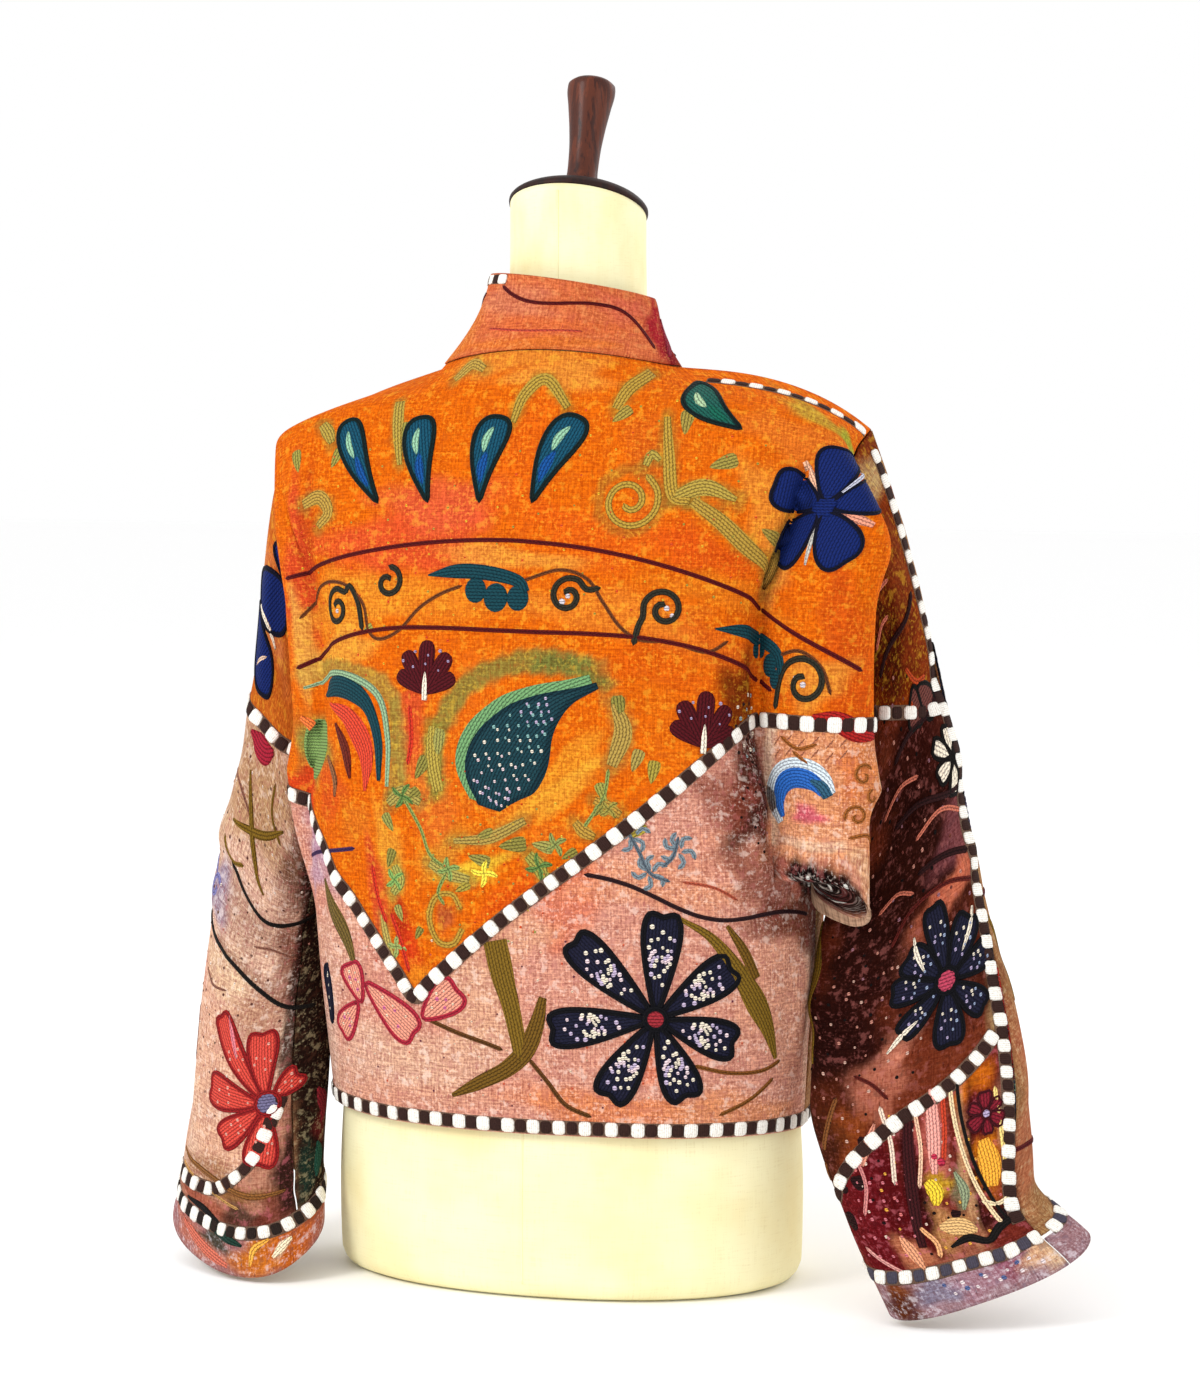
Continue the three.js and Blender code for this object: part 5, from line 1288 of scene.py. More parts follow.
def paisley(work, spine, half, border, fill, specks=(), n=34, halo=None, reach=(0.04, 0.72)):
    """A drop with a hooked tip: edge, filling, and knots along it."""
    half = np.asarray(half, float)
    if halo:
        tint, x, y = halo
        work.line(tint, np.asarray(spine, float) + (x, y), half + 3.4, 0.45)
    work.line(border, spine, half + 1.6, 0.9)
    work.line(fill, spine, np.maximum(half - 1.4, 0.2), 1.2)
    way, run = curve(spine, 1.5)
    ahead = np.gradient(way, axis=0)
    ahead /= np.linalg.norm(ahead, axis=1, keepdims=True)
    wide = smooth_row(half, run / run[-1] * (len(half) - 1))
    for c, tint in enumerate(specks):
        k = np.arange(c, n, len(specks))
        i = ((reach[0] + (reach[1] - reach[0]) * ((k * 0.7549) % 1)) * (len(way) - 1)).astype(int)
        off = (((k * 0.5698) % 1) * 2 - 1) * 0.78 * wide[i]
        work.knots(tint, way[i] + np.stack([-ahead[i, 1], ahead[i, 0]], -1) * off[:, None], 1.6, 0.6, 1.05)


def lobed_leaf(work, points, lobes, tint, half=4.5):
    """A scroll leaf: a tapering body with round lobes under it."""
    work.line(tint, points, [0.6, half * 0.9, half, half * 0.9, half * 0.7], 1.1)
    ring = np.arange(8) * 2 * np.pi / 8
    for x, y, r in lobes:
        work.patch(tint, np.stack([x + r * np.cos(ring), y + r * 1.15 * np.sin(ring)], -1), 1.15)


def vine(work, thread, *ways, half=1.2, crown=0.8):
    for way in ways:
        work.line(thread, way, half, crown)


def seeded(work, tints, x, y, wide, high, n, radius=1.1):
    """Small stitches strewn over an oval of cloth, in tints by turns."""
    k = np.arange(n)
    r, a = np.sqrt((k + 0.5) / n), k * 2.39996
    places = np.stack([x + wide * r * np.cos(a), y + high * r * np.sin(a)], -1)
    for c, tint in enumerate(tints):
        work.knots(tint, places[c::len(tints)], radius, 0.35, 0.15)


# ---- needlework on the back ----------------------------------------------------------------------
on_back = Needlework("needlework_back", back)
for tip, top, wide in (((-110 + 39 * k, 444), (-138 + 58 * k, 504), 20 + 1.5 * k) for k in range(4)):
    almond(on_back, tip, top, wide)
almond(on_back, (150, 500), (112, 532), 24, "#1A5A50", "#12604E", "#A9C8A0")
for way, half, tint in FADED:
    on_back.line(0.72 * hue(tint) + 0.28 * hue("#E88A1E"), way, half, 0.4)
on_back.line(0.7 * hue("#8F923F") + 0.3 * hue("#E88A1E"), spiral(76, 445, 22, 1.6, 60, -1), 2.8, 0.45)
# a blue five-petalled motif by the right armhole, with pale slits between its petals
SLIT = [(14, 0), (28, 0), (42, 0)]
for outline in [turned(petal(44, 36, 2, 0.45, 6), 222, 446, 90 + 72 * k) for k in range(5)]:
    on_back.edged(BLUE, NAVY, outline, 1.1, 0.1, 80, 1.7)
for tint, way, half, crown in (
    (BLUE, [(214, 446), (222, 446), (230, 446)], [4, 10, 11, 6], 1.75),
    ("#C9CCE0", turned(SLIT, 222, 446, 54), [1.2, 2.2, 1.2], 2.1),
    ("#F4BC9A", turned(SLIT, 222, 446, 126), [1.2, 3.2, 2.0], 0.9),
    ("#E79A80", turned(SLIT, 222, 446, -18), [1.2, 3.4, 2.0], 0.9),
    ("#C9C8C0", turned(SLIT, 222, 446, -90), [0.8, 2, 0.8], 1.2)):
    on_back.line(tint, way, half, crown)
# two dark-red lines with a scroll between them
vine(
    on_back, OXBLOOD, arched(-206, 392, 270, 334, 50),
    arched(-204, 326, 202, 318, 36, 5, 1.5), half=1.7, crown=1.0)
vine(on_back, SLATE, spiral(-146, 368, 15, 1.35, 50, 1, [(-120, 352), (-124, 372), (-132, 384)]),
     spiral(-98, 386, 12, 1.2, 90, -1), spiral(37, 378, 14, 1.4, 20, 1, [(60, 384)]),
     spiral(104, 370, 15, 1.4, 200, -1, [(84, 345), (87, 358)]),
     spiral(228, 325, 19, 1.3, 175, -1, [(206, 306)]), half=2.4, crown=1.1)
vine(
    on_back, BARK, [(-196, 362), (-170, 384), (-140, 386), (-120, 372), (-114, 352), (-104, 346), (-88, 352),
    (-72, 368), (-56, 378), (-40, 384)], [(4, 388), (30, 396), (50, 390), (62, 374), (74, 358), (88, 349),
    (110, 348), (134, 342), (150, 350)], [(206, 342), (224, 346), (240, 336), (248, 318)], half=1.4)
lobed_leaf(on_back, [(-66, 391), (-44, 394), (-22, 393), (0, 388), (6, 380)],
           [(-30, 381, 8), (-15, 376, 9), (1, 376, 8)], DEEP_TEAL, 5.5)
lobed_leaf(on_back, [(140, 358), (162, 357), (184, 352), (204, 344), (210, 330)],
           [(186, 345, 6), (198, 335, 7), (205, 326, 6)], DEEP_TEAL, 5.0)
on_back.knots("#D8D2DC", [(-146, 366), (-142, 372), (37, 378), (33, 374), (106, 371), (110, 366), (228, 324),
                          (222, 328)], 2.4, 0.6, 0.3)
# maroon tulips, the paisley and its crowded neighbour
tulip(on_back, -66, 308, 34, 88)
tulip(on_back, 133, 277, 35, 86)
paisley(
    on_back, [(-18, 230), (-12, 250), (0, 272), (14, 291), (34, 306), (60, 317)],
    [7, 25, 28, 22, 12, 4, 0.8], "#0C2E38", "#163C46", ("#F2DCE0", "#C8B8D8", "#8FC0BC", "#F7EEDC"), 84,
    halo=("#6F9F6A", -4.5, 3.5))
on_back.patch("#7C9C58", turned(petal(46, 44, 0, 0.8), -196, 244, 66), 0.8)
for tint, way, half, crown in (
        ("#D8452E", [(-160, 300), (-134, 290), (-118, 266), (-118, 238)], [1, 6, 9, 7, 1.5], 1.0),
        ("#6A2418", [(-150, 286), (-138, 268), (-134, 246)], [1, 4, 4, 1], 1.3),
        ("#8A5A3A", [(-160, 262), (-150, 246), (-150, 232)], [1, 3, 1], 1.0),
        (DEEP_TEAL, [(-176, 306), (-146, 313), (-118, 302), (-106, 276), (-104, 246)],
        [1.5, 8, 8, 5, 4, 1.5], 1.3), ("#8FB08A", [(-200, 312), (-150, 322), (-108, 309), (-97, 278),
        (-97, 242)], [1, 2.4, 3, 2.6, 1.5], 0.8),
        ("#F07A3A", [(-206, 290), (-196, 282), (-196, 268)], [2, 5, 1], 1.2)):
    on_back.line(tint, way, half, crown)
# small sprigs in the point of the yoke
for x, y, r, tint in (
        (-84, 236, 8, MOSS), (-48, 186, 7, "#86A058"), (18, 190, 8, MOSS), (30, 206, 7, "#8A9450"),
        (-92, 176, 7, "#7FA85A"), (-22, 184, 8, "#F7E04A"), (-92, 128, 7, "#9AA860"),
        (68, 232, 6, "#9A8E40")):
    for k in range(4):
        on_back.line(tint, turned([(0, 0), (r * 0.6, r * 0.14), (r * 1.25, 0)], x, y,
                                  k * 90 + 37 * (x % 3) + y), [1.2, 2.6, 0.8], 0.5)
for x, y, long, turn, tint in (
        (-84, 230, 18, 40, MOSS), (-92, 210, 16, 120, "#6E9450"), (-74, 248, 20, 60, MOSS),
        (-58, 262, 24, 84, "#7F9A56"), (-30, 207, 18, 20, "#6E8A48"), (-12, 203, 22, 8, MOSS),
        (12, 206, 18, -10, "#7F9A56"), (-34, 196, 18, -16, "#6E8A48"), (56, 226, 18, 50, MOSS),
        (66, 236, 16, 110, "#7A9A4E"), (82, 212, 16, 40, "#8A9440"), (97, 250, 18, 80, "#8A9440"),
        (-98, 184, 16, 70, MOSS), (-86, 146, 14, 110, "#7F9A56"), (-76, 134, 12, 60, MOSS),
        (-44, 170, 14, 30, "#8A9440"), (34, 196, 14, 30, MOSS), (22, 176, 12, 80, "#7A9A4E"),
        (-120, 350, 12, 30, "#7A9A4E"), (130, 470, 22, 20, "#7A8A44"), (112, 492, 20, 86, "#7F8A44"),
        (-92, 484, 18, 84, "#7A9248"), (-150, 470, 16, 60, "#7A9248"), (60, 500, 18, 40, "#8A8E42"),
        (-180, 470, 18, 100, "#7A9248"), (168, 428, 20, -30, "#7F8440"), (84, 258, 18, 70, "#8F9450"),
        (76, 292, 20, 96, MOSS)):
    on_back.patch(0.8 * hue(tint) + 0.2 * hue("#E88A1E"), turned(petal(long, long * 0.62, 1.5, 0.3), x, y,
                                                                 turn), 0.4, 0, turn)
vine(on_back, "#8A9A50", [(-84, 236), (-70, 214), (-62, 196), (-48, 186)],
     [(-48, 186), (-56, 170), (-52, 160)], [(68, 260), (64, 240), (50, 218)], half=1.5, crown=0.45)
vine(on_back, "#C8321E", [(-112, 186), (-108, 164), (-100, 144)], [(-96, 152), (-88, 132), (-82, 110)],
     [(-78, 300), (-77, 276), (-80, 258)], half=2.0, crown=0.5)
seeded(on_back, ("#FBD24A", "#E8521A", "#A8B05A", "#F7A03A"), -20, 200, 60, 70, 90, 1.0)
seeded(on_back, ("#FBC83A", "#F05A2A", "#B0A848"), 90, 440, 120, 80, 90, 1.0)
seeded(on_back, ("#FBC83A", "#F0502A", "#C8B04A"), -110, 400, 90, 90, 90, 1.0)
# lower back: lines, stems and the red petals at the left
vine(on_back, "#3C2350", [(-205, 184), (-180, 189), (-150, 193), (-128, 196)], half=1.6, crown=0.9)
on_back.line("#6E5A2A", arched(-168, 170, -134, 112, 5), [2, 5.5, 6, 5, 2.5], 0.9)
for x, y, turn, long, broad, lobes in ((-128, 84, 112, 30, 24, 2), (-132, 82, 228, 34, 24, 3),
                                       (-122, 98, 322, 56, 30, 5), (-72, 78, 40, 38, 30, 4)):
    outline = turned(petal(long, broad, lobes, 0.32), x, y, turn)
    on_back.edged("#E89A84", "#A8263A", outline, 0.7, 0, turn, 2.0)
    on_back.knots("#D06A9A", scattered(outline, 3, 0.5), 2.2, 0.5, 0.6)
    on_back.knots("#FBE3C8", scattered(outline, 7, 0.6)[3:], 1.5, 0.5, 0.6)
on_back.edged(NIGHT, NAVY, turned(petal(44, 24, 2, 0.5), -172, 62, 96), 0.9, 0, 96, 1.8)
on_back.knots(BONE, [(-174, 72), (-176, 80), (-172, 90), (-178, 96), (-170, 100)], 1.6, 0.6, 0.8)
on_back.line(OLIVE, [(-15, 137), (-10, 112), (-4, 88), (1, 62), (2, 52)], [9, 9, 7, 6, 5], 1.0)
on_back.line("#6E5016", [(19, 98), (14, 78), (6, 60), (-8, 46), (-28, 35), (-50, 24)], [3, 6, 7, 6, 5, 1.6],
             1.0)
vine(on_back, "#5E3A16", [(-70, 78), (-44, 69), (-11, 59)], [(8, 54), (22, 38), (34, 22), (52, 14)], half=1.8)
vine(on_back, "#7A4A1C", [(124, 52), (150, 46), (176, 46), (196, 52)], [(142, 16), (166, 26), (188, 40)],
     half=1.6)
vine(on_back, "#2A1418", arched(50, 186, 232, 152, -10, 4, 1.5), half=1.7, crown=1.0)
vine(on_back, "#B5563F", [(118, 182), (140, 178), (158, 168)], half=1.2)
for x, y in ((84, 214), (96, 188), (116, 204)):
    for a in (20, 80, 150, 215, 285, 340):
        vine(on_back, "#7A8A94", turned([(2, 0), (8, 4), (13, 0)], x, y, a + x), half=1.9, crown=0.6)
vine(on_back, "#5E6C78", [(78, 222), (88, 204), (96, 188), (110, 182)], [(116, 214), (112, 200), (104, 192)],
     half=1.5)
flower(
    on_back, 98, 85, [(136 - 360 / 7 * k, 72 + 10 * math.cos(0.9 * k), 31) for k in range(7)],
    NIGHT, "#08080F", 37, "#9A2A34", 7.5, 8.0, (BONE, "#C8B8D8", "#F2DCE4", BONE), 34, 0.24,
    6, 2.4, 2.1)
on_back.line(OLIVE, [(116, 156), (138, 142), (156, 120), (170, 98), (182, 76), (190, 54)],
             [1.5, 3, 5, 7, 9, 6, 2], 1.0)
on_back.line("#6E5016", [(150, 150), (162, 132), (172, 112)], [1.5, 4, 4], 0.9)
seeded(on_back, ("#FBE3C8", "#7A3A4A", "#E86A4A", "#F7C8A8"), 0, 80, 200, 66, 150, 1.0)
seeded(on_back, ("#8FA0A0", "#E8DCC8", "#2A1A14"), 172, 292, 16, 26, 26, 1.7)
seeded(on_back, ("#9A6A6A", "#1A0A08"), 176, 240, 16, 40, 26, 1.3)
# the hanging fold: blue hook, a pink spot, brown squiggles and a red leaf
for tint, way, half, crown in (
    ("#D4E2EC", arc_of(227, 240, 25, 220, 20), [3, 8, 9, 9, 3], 0.8),
    ("#2A66BE", arc_of(227, 240, 20, 215, 25), [2, 6.5, 8.5, 8.5, 4], 1.2),
    ("#2E5A74", [(236, 258), (243, 254), (248, 246)], [2, 5, 4], 1.5)):
    on_back.line(tint, way, half, crown)
vine(on_back, "#9A5A26", spiral(274, 262, 9, 1.1, 30, 1), spiral(268, 232, 9, 1.2, 200, -1),
     spiral(282, 246, 6, 0.9, 90, 1), [(212, 288), (226, 280), (240, 284)], [(222, 278), (236, 268)],
     [(262, 216), (276, 218), (284, 212)], half=1.7, crown=0.7)
for k in range(12):
    vine(on_back, "#C07A5A", turned([(0, 0), (8, 3)], 206 + 10 * (k % 6), 272 + 9 * (k // 6) + 2 * (k % 2),
                                    30), half=1.0, crown=0.5)
on_back.line("#A81E1C", [(236, 303), (252, 301), (268, 294), (286, 290)], [2, 7, 8, 3], 1.3)
on_back.knots("#D8D8D2", [(234, 192), (240, 184), (246, 178), (252, 172), (262, 192), (266, 184),
                          (238, 174)], 2.4, 0.7, 0.3)

# ---- needlework on the fronts: the same stitches in their own layout -----------------------------
on_front = Needlework("needlework_fronts", front)
flower(on_front, -118, 330, ((92, 62), (38, 60), (-14, 56), (-66, 62), (-122, 58), (174, 62), (136, 60)),
       NIGHT, "#08080F", 34, CRIMSON, 6.5, 5.0, (BONE, LILAC), 14, 0.34, 5, 2.0)
flower(on_front, 124, 178, ((100, 56), (28, 54), (-44, 58), (-116, 52), (172, 56)), "#D9584A", BRICK, 38,
       "#6E6A8E", 8, 4, ("#F3D0C8",), 6, 0.32, 6, 1.8)
flower(on_front, -110, 120, ((80, 46), (20, 44), (-40, 48), (-100, 44), (-160, 46), (140, 44)), "#F3C6C0",
       WINE, 30, BLUE, 6, 4, ("#C9A9C4",), 4, 0.3, 5, 1.6)
paisley(on_front, [(96, 300), (108, 316), (124, 340), (146, 360), (172, 372)], [2, 18, 22, 12, 0.8],
        DEEP_TEAL, "#123640", ("#E9D2D6", LILAC), 44, halo=("#8FA06A", -4, 3))
paisley(on_front, [(-196, 200), (-186, 216), (-176, 236), (-176, 258), (-188, 274)], [2, 14, 17, 9, 0.8],
        WINE, "#A23A34", ("#F2C9A0",), 16)
for x, y, long, wide, turn in (
        (70, 440, 52, 18, 64), (112, 448, 50, 18, 84), (-76, 440, 52, 18, 116), (168, 446, 46, 18, 112),
        (-168, 430, 44, 18, 60), (62, 64, 44, 16, 30), (196, 76, 44, 16, 140), (-60, 226, 46, 16, 74)):
    almond(on_front, turned([(-long / 2, 0)], x, y, turn)[0], turned([(long / 2, 0)], x, y, turn)[0], wide)
vine(on_front, OXBLOOD, [(-216, 398), (-160, 404), (-104, 410), (-50, 402)],
     [(56, 398), (112, 408), (170, 404), (216, 396)], [(-206, 66), (-150, 76), (-96, 70), (-40, 60)],
     [(44, 112), (80, 104), (130, 96), (196, 108)], half=1.7, crown=1.0)
vine(on_front, SLATE, spiral(74, 374, 13, 1.4, 30, 1, [(60, 350)]),
     spiral(196, 352, 13, 1.4, 200, -1, [(180, 330)]), spiral(-66, 372, 13, 1.4, 120, 1),
     spiral(-200, 170, 14, 1.3, 10, -1), half=1.9, crown=1.0)
for tint, way, half, crown in (
    (OLIVE, [(62, 150), (70, 190), (64, 236), (74, 280)], [1, 5, 5, 4, 1], 1.0),
    (OLIVE, [(68, 200), (84, 216), (92, 236)], [2, 4.5, 1], 1.0),
    (OLIVE, [(-70, 100), (-56, 140), (-62, 180)], [1, 5, 4, 1], 1.0),
    (OLIVE, [(-170, 60), (-190, 40), (-210, 30)], [1, 4, 1], 1.0),
    (OLIVE, [(196, 130), (206, 180), (200, 226), (210, 270)], [1, 4, 5, 4, 1], 1.0)):
    on_front.line(tint, way, half, crown)
tulip(on_front, 150, 268, 27, 78)
tulip(on_front, -150, 196, 25, 100, "#12288C", BONE, OLIVE)
tulip(on_front, 84, 30, 22, 90, WINE, LILAC, OLIVE)
vine(on_front, BARK, [(-40, 280), (-58, 262), (-56, 240)], [(-200, 300), (-186, 318), (-170, 316)], half=1.3)

# ---- needlework on the right sleeve --------------------------------------------------------------
on_right = Needlework("needlework_sleeve_right", sleeve["right"])
vine(on_right, "#2A0F10", arched(30, 426, 90, 434, 0, 3.5, 1),
     arched(20, 374, 88, 376, 0, 3.5, 1), arched(10, 338, 84, 328, 0, 3.5, 1),
     arched(24, 300, 70, 292, 3), half=2.1, crown=1.2)
vine(on_right, "#B5461F", [(56, 410), (62, 396), (74, 390)], [(50, 392), (58, 380)], [(70, 356), (84, 350)],
     half=1.8, crown=0.8)
for outline in (turned(petal(24, 20, 3, 0.4), 58, 396, 250), turned(petal(26, 20, 3, 0.4), 62, 392, 300)):
    on_right.edged("#6A3A34", INK, outline, 0.8, 0, 0, 1.6)
# the black and white knot by the over-arm seam
for a, long in ((20, 20), (75, 18), (130, 20), (190, 18), (250, 20), (310, 18)):
    on_right.edged(BONE if a % 20 else "#2A2422", INK, turned(petal(long, 12, 2, 0.4), 72, 342, a), 0.9, 0,
                   a, 1.5)
flower(
    on_right, 42, 226, ((100, 52), (58, 40), (12, 42), (-40, 40), (-86, 44), (-140, 44), (176, 42),
    (140, 40)), NIGHT, "#08080F", 25, "#B5405A", 8, 4.0, (BONE, LILAC, "#9FB0D0"), 9, 0.36, 6, 1.9)
for tint, way, half, crown in (
    (BONE, [(26, 236), (20, 250), (18, 262)], [0.8, 2.2, 0.8], 1.5),
    (BONE, [(54, 240), (62, 252), (66, 262)], [0.8, 2.2, 0.8], 1.5),
    (BONE, [(22, 206), (10, 198), (0, 188)], [0.8, 2.4, 0.8], 1.5)):
    on_right.line(tint, way, half, crown)
vine(on_right, "#5A1A14", [(0, 262), (16, 280), (44, 284), (70, 276)], [(-24, 176), (-10, 168), (2, 156)],
     half=1.5)
vine(on_right, "#7A4A24", [(-50, 118), (-42, 140), (-36, 160)], [(-60, 90), (-52, 108)], half=2.2)
on_right.line(OLIVE, [(-70, 300), (-62, 260), (-66, 220), (-60, 180)], [1, 5, 6, 5, 1], 1.0)
on_right.line(WINE, [(-96, 120), (-84, 150), (-92, 182)], [1, 7, 7, 1], 1.0)
# cuff patch: blocks, stripes and small flowers
on_right.line("#3A0E12", [(16, 148), (12, 104), (6, 50)], [3, 4.5, 4.5, 3], 0.8)
on_right.line("#F2A79C", [(32, 158), (32, 128), (28, 100)], [2, 5, 5, 2], 0.7)
on_right.knots("#C2304E", [(30, 112), (34, 108)], 3.4, 0.8, 0.9)
for tint, way, half, crown in (
    ("#F6D23A", [(22, 96), (26, 88), (24, 78)], [3, 6, 5, 2], 0.9),
    ("#93A07E", [(42, 100), (46, 86), (42, 72)], [1, 4, 1], 1.1),
    ("#E9BC7E", [(22, 62), (36, 60), (46, 54)], [2, 7, 7, 2], 1.0),
    ("#F8DDB0", arched(45, 160, 65, 50, -3), 1.8, 0.9),
    (INK, arched(50, 160, 70, 50, -3), 1.4, 0.8)):
    on_right.line(tint, way, half, crown)
flower(on_right, 70, 134, ((90, 15), (30, 14), (-30, 15), (-90, 14), (-150, 15), (150, 14)), "#7E1A2A",
       "#4A0E18", 12, LILAC, 3.4, 1.5, None, 0, 0.4, 2, 1.1)
on_right.line("#FBB03A", [(66, 118), (68, 100), (66, 84)], [4, 8, 8, 4], 0.8)
on_right.line(INK, [(24, 46), (38, 50), (50, 44), (62, 52), (80, 56)], [1, 3.4, 3, 3.6, 1], 1.0)
on_right.knots(ROSY, [(-34 + 9 * (k % 5) + 2 * (k // 5), 46 + 13 * (k // 5)) for k in range(25)], 1.4, 0.6,
               0.2)
on_right.line("#E9A27C", [(-6, 60), (-2, 46), (0, 34)], [1, 4.5, 4, 1], 0.9)
on_right.line("#D9907A", [(-20, 110), (-14, 126), (-8, 140)], [1, 3.5, 1], 0.9)
on_right.knots("#F3E6EA", [(10 + 8 * k, 12 + 6 * (k % 2)) for k in range(9)], 1.8, 0.6, 0.2)
on_right.knots("#5A6A9C", [(6 + 13 * k, 20 - 7 * (k % 2)) for k in range(5)], 2.0, 0.6, 0.2)
for x, y, r in ((-18, 92, 6), (-30, 62, 7), (-12, 122, 5), (18, 132, 4), (38, 66, 4), (72, 56, 5),
                (-36, 88, 4)):
    on_right.patch("#240709", turned(petal(2 * r, 2 * r, 1, 0.7), x - r, y, 17 * r), 0.5)
for way, half, tint in (
        ([(-4, 152), (2, 126), (0, 96)], 1.8, "#F3DCC8"), ([(20, 150), (22, 120), (16, 92)], 1.6, "#F7C9A8"),
        ([(40, 156), (40, 130), (36, 108)], 2.0, "#C8442A"),
        ([(-24, 118), (-20, 96), (-26, 74)], 1.5, "#D98A88"),
        ([(78, 150), (80, 120), (78, 92)], 1.8, "#FFE08A"), ([(56, 76), (66, 70), (78, 74)], 2.0, "#F6E2B8"),
        ([(8, 66), (16, 52), (14, 40)], 2.0, "#F0B07A"),
        ([(-34, 52), (-22, 40), (-10, 30)], 1.6, "#E3A09A")):
    on_right.line(tint, way, half, 0.9)
seeded(on_right, ("#F2D8C8", "#E07A7A", "#F7B84A", "#1C0808"), 24, 96, 52, 56, 90, 1.4)
seeded(on_right, ("#7A3E36", "#C88A7A", "#0C0606", "#9A6A78"), 10, 320, 66, 120, 130, 1.5)
seeded(on_right, ("#C88A7A", "#D8B0A0", "#0C0606"), -20, 190, 46, 70, 60, 1.4)
vine(on_right, "#C8705A", [(0, 350), (20, 358), (40, 352)], [(26, 320), (50, 324), (74, 312)],
     [(-10, 290), (6, 296), (20, 290)], [(40, 458), (56, 462), (76, 456)], [(36, 440), (50, 446), (60, 444)],
     half=1.5, crown=0.7)
# the hidden front of the sleeve
flower(on_right, -330, 180, ((90, 40), (40, 38), (-14, 42), (-70, 38), (-126, 40), (170, 38)), "#D9584A",
       BRICK, 28, "#6E6A8E", 7, 3, ("#F3D0C8",), 5, 0.32, 5, 1.7)
flower(on_right, -280, 360, ((100, 38), (30, 36), (-44, 40), (-116, 36), (172, 38)), NIGHT, "#08080F", 26,
       CRIMSON, 6, 3, (BONE, LILAC), 8, 0.34, 5, 1.8)
paisley(on_right, [(-406, 280), (-398, 300), (-384, 322), (-366, 336)], [2, 13, 15, 7, 0.8], DEEP_TEAL,
        "#123640", (LILAC,), 16, halo=("#8FA06A", -4, 3))
vine(on_right, OXBLOOD, [(-440, 250), (-380, 256), (-310, 250), (-240, 262), (-170, 256)],
     [(-430, 110), (-370, 100), (-300, 106), (-220, 96)], half=1.7, crown=1.0)
on_right.line(OLIVE, [(-240, 190), (-226, 220), (-236, 250)], [1, 5, 5, 1], 1.0)
on_right.line(OLIVE, [(120, 400), (112, 340), (118, 280), (112, 220)], [1, 4, 4, 4, 1], 0.9)
almond(on_right, (-194, 308), (-186, 352), 18)
almond(on_right, (-382, 120), (-398, 160), 17)

# ---- needlework on the left sleeve ---------------------------------------------------------------
on_left = Needlework("needlework_sleeve_left", sleeve["left"])
for outline in (
        [(-86, 440), (-66, 462), (-44, 466), (-34, 446), (-50, 430), (-70, 428)],
        [(-84, 420), (-60, 424), (-36, 418), (-30, 400), (-52, 386), (-72, 394)],
        [(-72, 476), (-56, 496), (-40, 486), (-46, 470)]):
    on_left.edged(BLUE, NAVY, outline, 1.15, 0.1, 70, 1.8)
for tint, way, half, crown in (
    (BONE, [(-74, 428), (-56, 432), (-38, 428)], [1.2, 3, 1.2], 1.5),
    ("#F0D0B4", [(-44, 416), (-54, 404), (-60, 394)], [0.8, 2.4, 0.8], 1.5),
    ("#A31F35", [(-42, 362), (-28, 366), (-12, 374), (-2, 384)], [1.5, 7, 8, 2], 1.2),
    (OLIVE, [(-24, 350), (-6, 328), (8, 306), (22, 292)], [1, 3, 3, 1], 0.9),
    (OLIVE, [(30, 352), (14, 334), (-4, 322), (-24, 314)], [1, 3, 3, 1], 0.9)):
    on_left.line(tint, way, half, crown)
vine(on_left, OLIVE, [(10, 372), (14, 352), (30, 340)], [(-30, 300), (-18, 290), (-4, 296)], half=1.6)
vine(on_left, INK, [(-20, 288), (0, 280), (24, 272), (50, 276), (70, 280)],
     [(-52, 242), (-30, 234), (0, 228), (30, 216), (56, 202), (80, 196)], half=2.0, crown=1.1)
vine(on_left, "#7C7AB0", spiral(-36, 262, 8, 1.1, 30, 1), [(-50, 276), (-40, 268)], half=1.8, crown=0.7)
flower(
    on_left, 50, 126, ((130, 84, 22), (100, 60, 28), (172, 62, 30), (214, 54, 24), (258, 50, 30),
    (40, 32, 22)), "#D3483C", "#8E1A1C", 36, "#6E6A8E", 9, 6, ("#F0B0A0",), 6, 0.30, 7, 2.0)
on_left.line(ROSY, [(22, 160), (14, 178), (8, 190)], [1, 2.6, 1], 1.5)
on_left.line("#8A5A2C", [(-60, 72), (-30, 68), (0, 66), (30, 58), (60, 58)], [1, 2.6, 3, 2.6, 1], 0.9)
vine(on_left, "#C99A5A", [(-60, 62), (-20, 56), (20, 48)], half=1.3)
for tint, way, half, crown in (
    ("#1B3A30", [(-26, 34), (0, 30), (24, 22)], [1, 4.5, 5, 1], 1.0),
    (INK, [(-44, 40), (-18, 40), (6, 34)], [1, 3, 1], 1.1),
    ("#D9745E", [(-50, 20), (-20, 12), (10, 6)], [2, 5, 5, 2], 0.8),
    ("#FBEAC8", [(48, 12), (56, 17), (64, 20)], [1.5, 4.2, 1.5], 1.1),
    ("#F4B24A", [(30, 8), (34, 20), (46, 26)], [1, 3, 1], 0.8),
    ("#1E4A3C", [(90, 84), (94, 70), (90, 54)], [1, 6, 6, 1], 1.0),
    ("#7A1A24", [(88, 128), (96, 112), (94, 98)], [1, 6, 5, 1], 1.0)):
    on_left.line(tint, way, half, crown)
seeded(on_left, ("#C98A7A", "#8A6A5A", "#FBEADC", "#6A4038"), 0, 250, 66, 150, 150, 1.3)
vine(on_left, "#8E5E4E", [(-50, 330), (-30, 336), (-10, 330)], [(-40, 210), (-20, 204), (0, 206)],
     [(20, 248), (36, 250), (56, 242)], [(-60, 180), (-52, 160), (-56, 140)], half=1.1, crown=0.6)
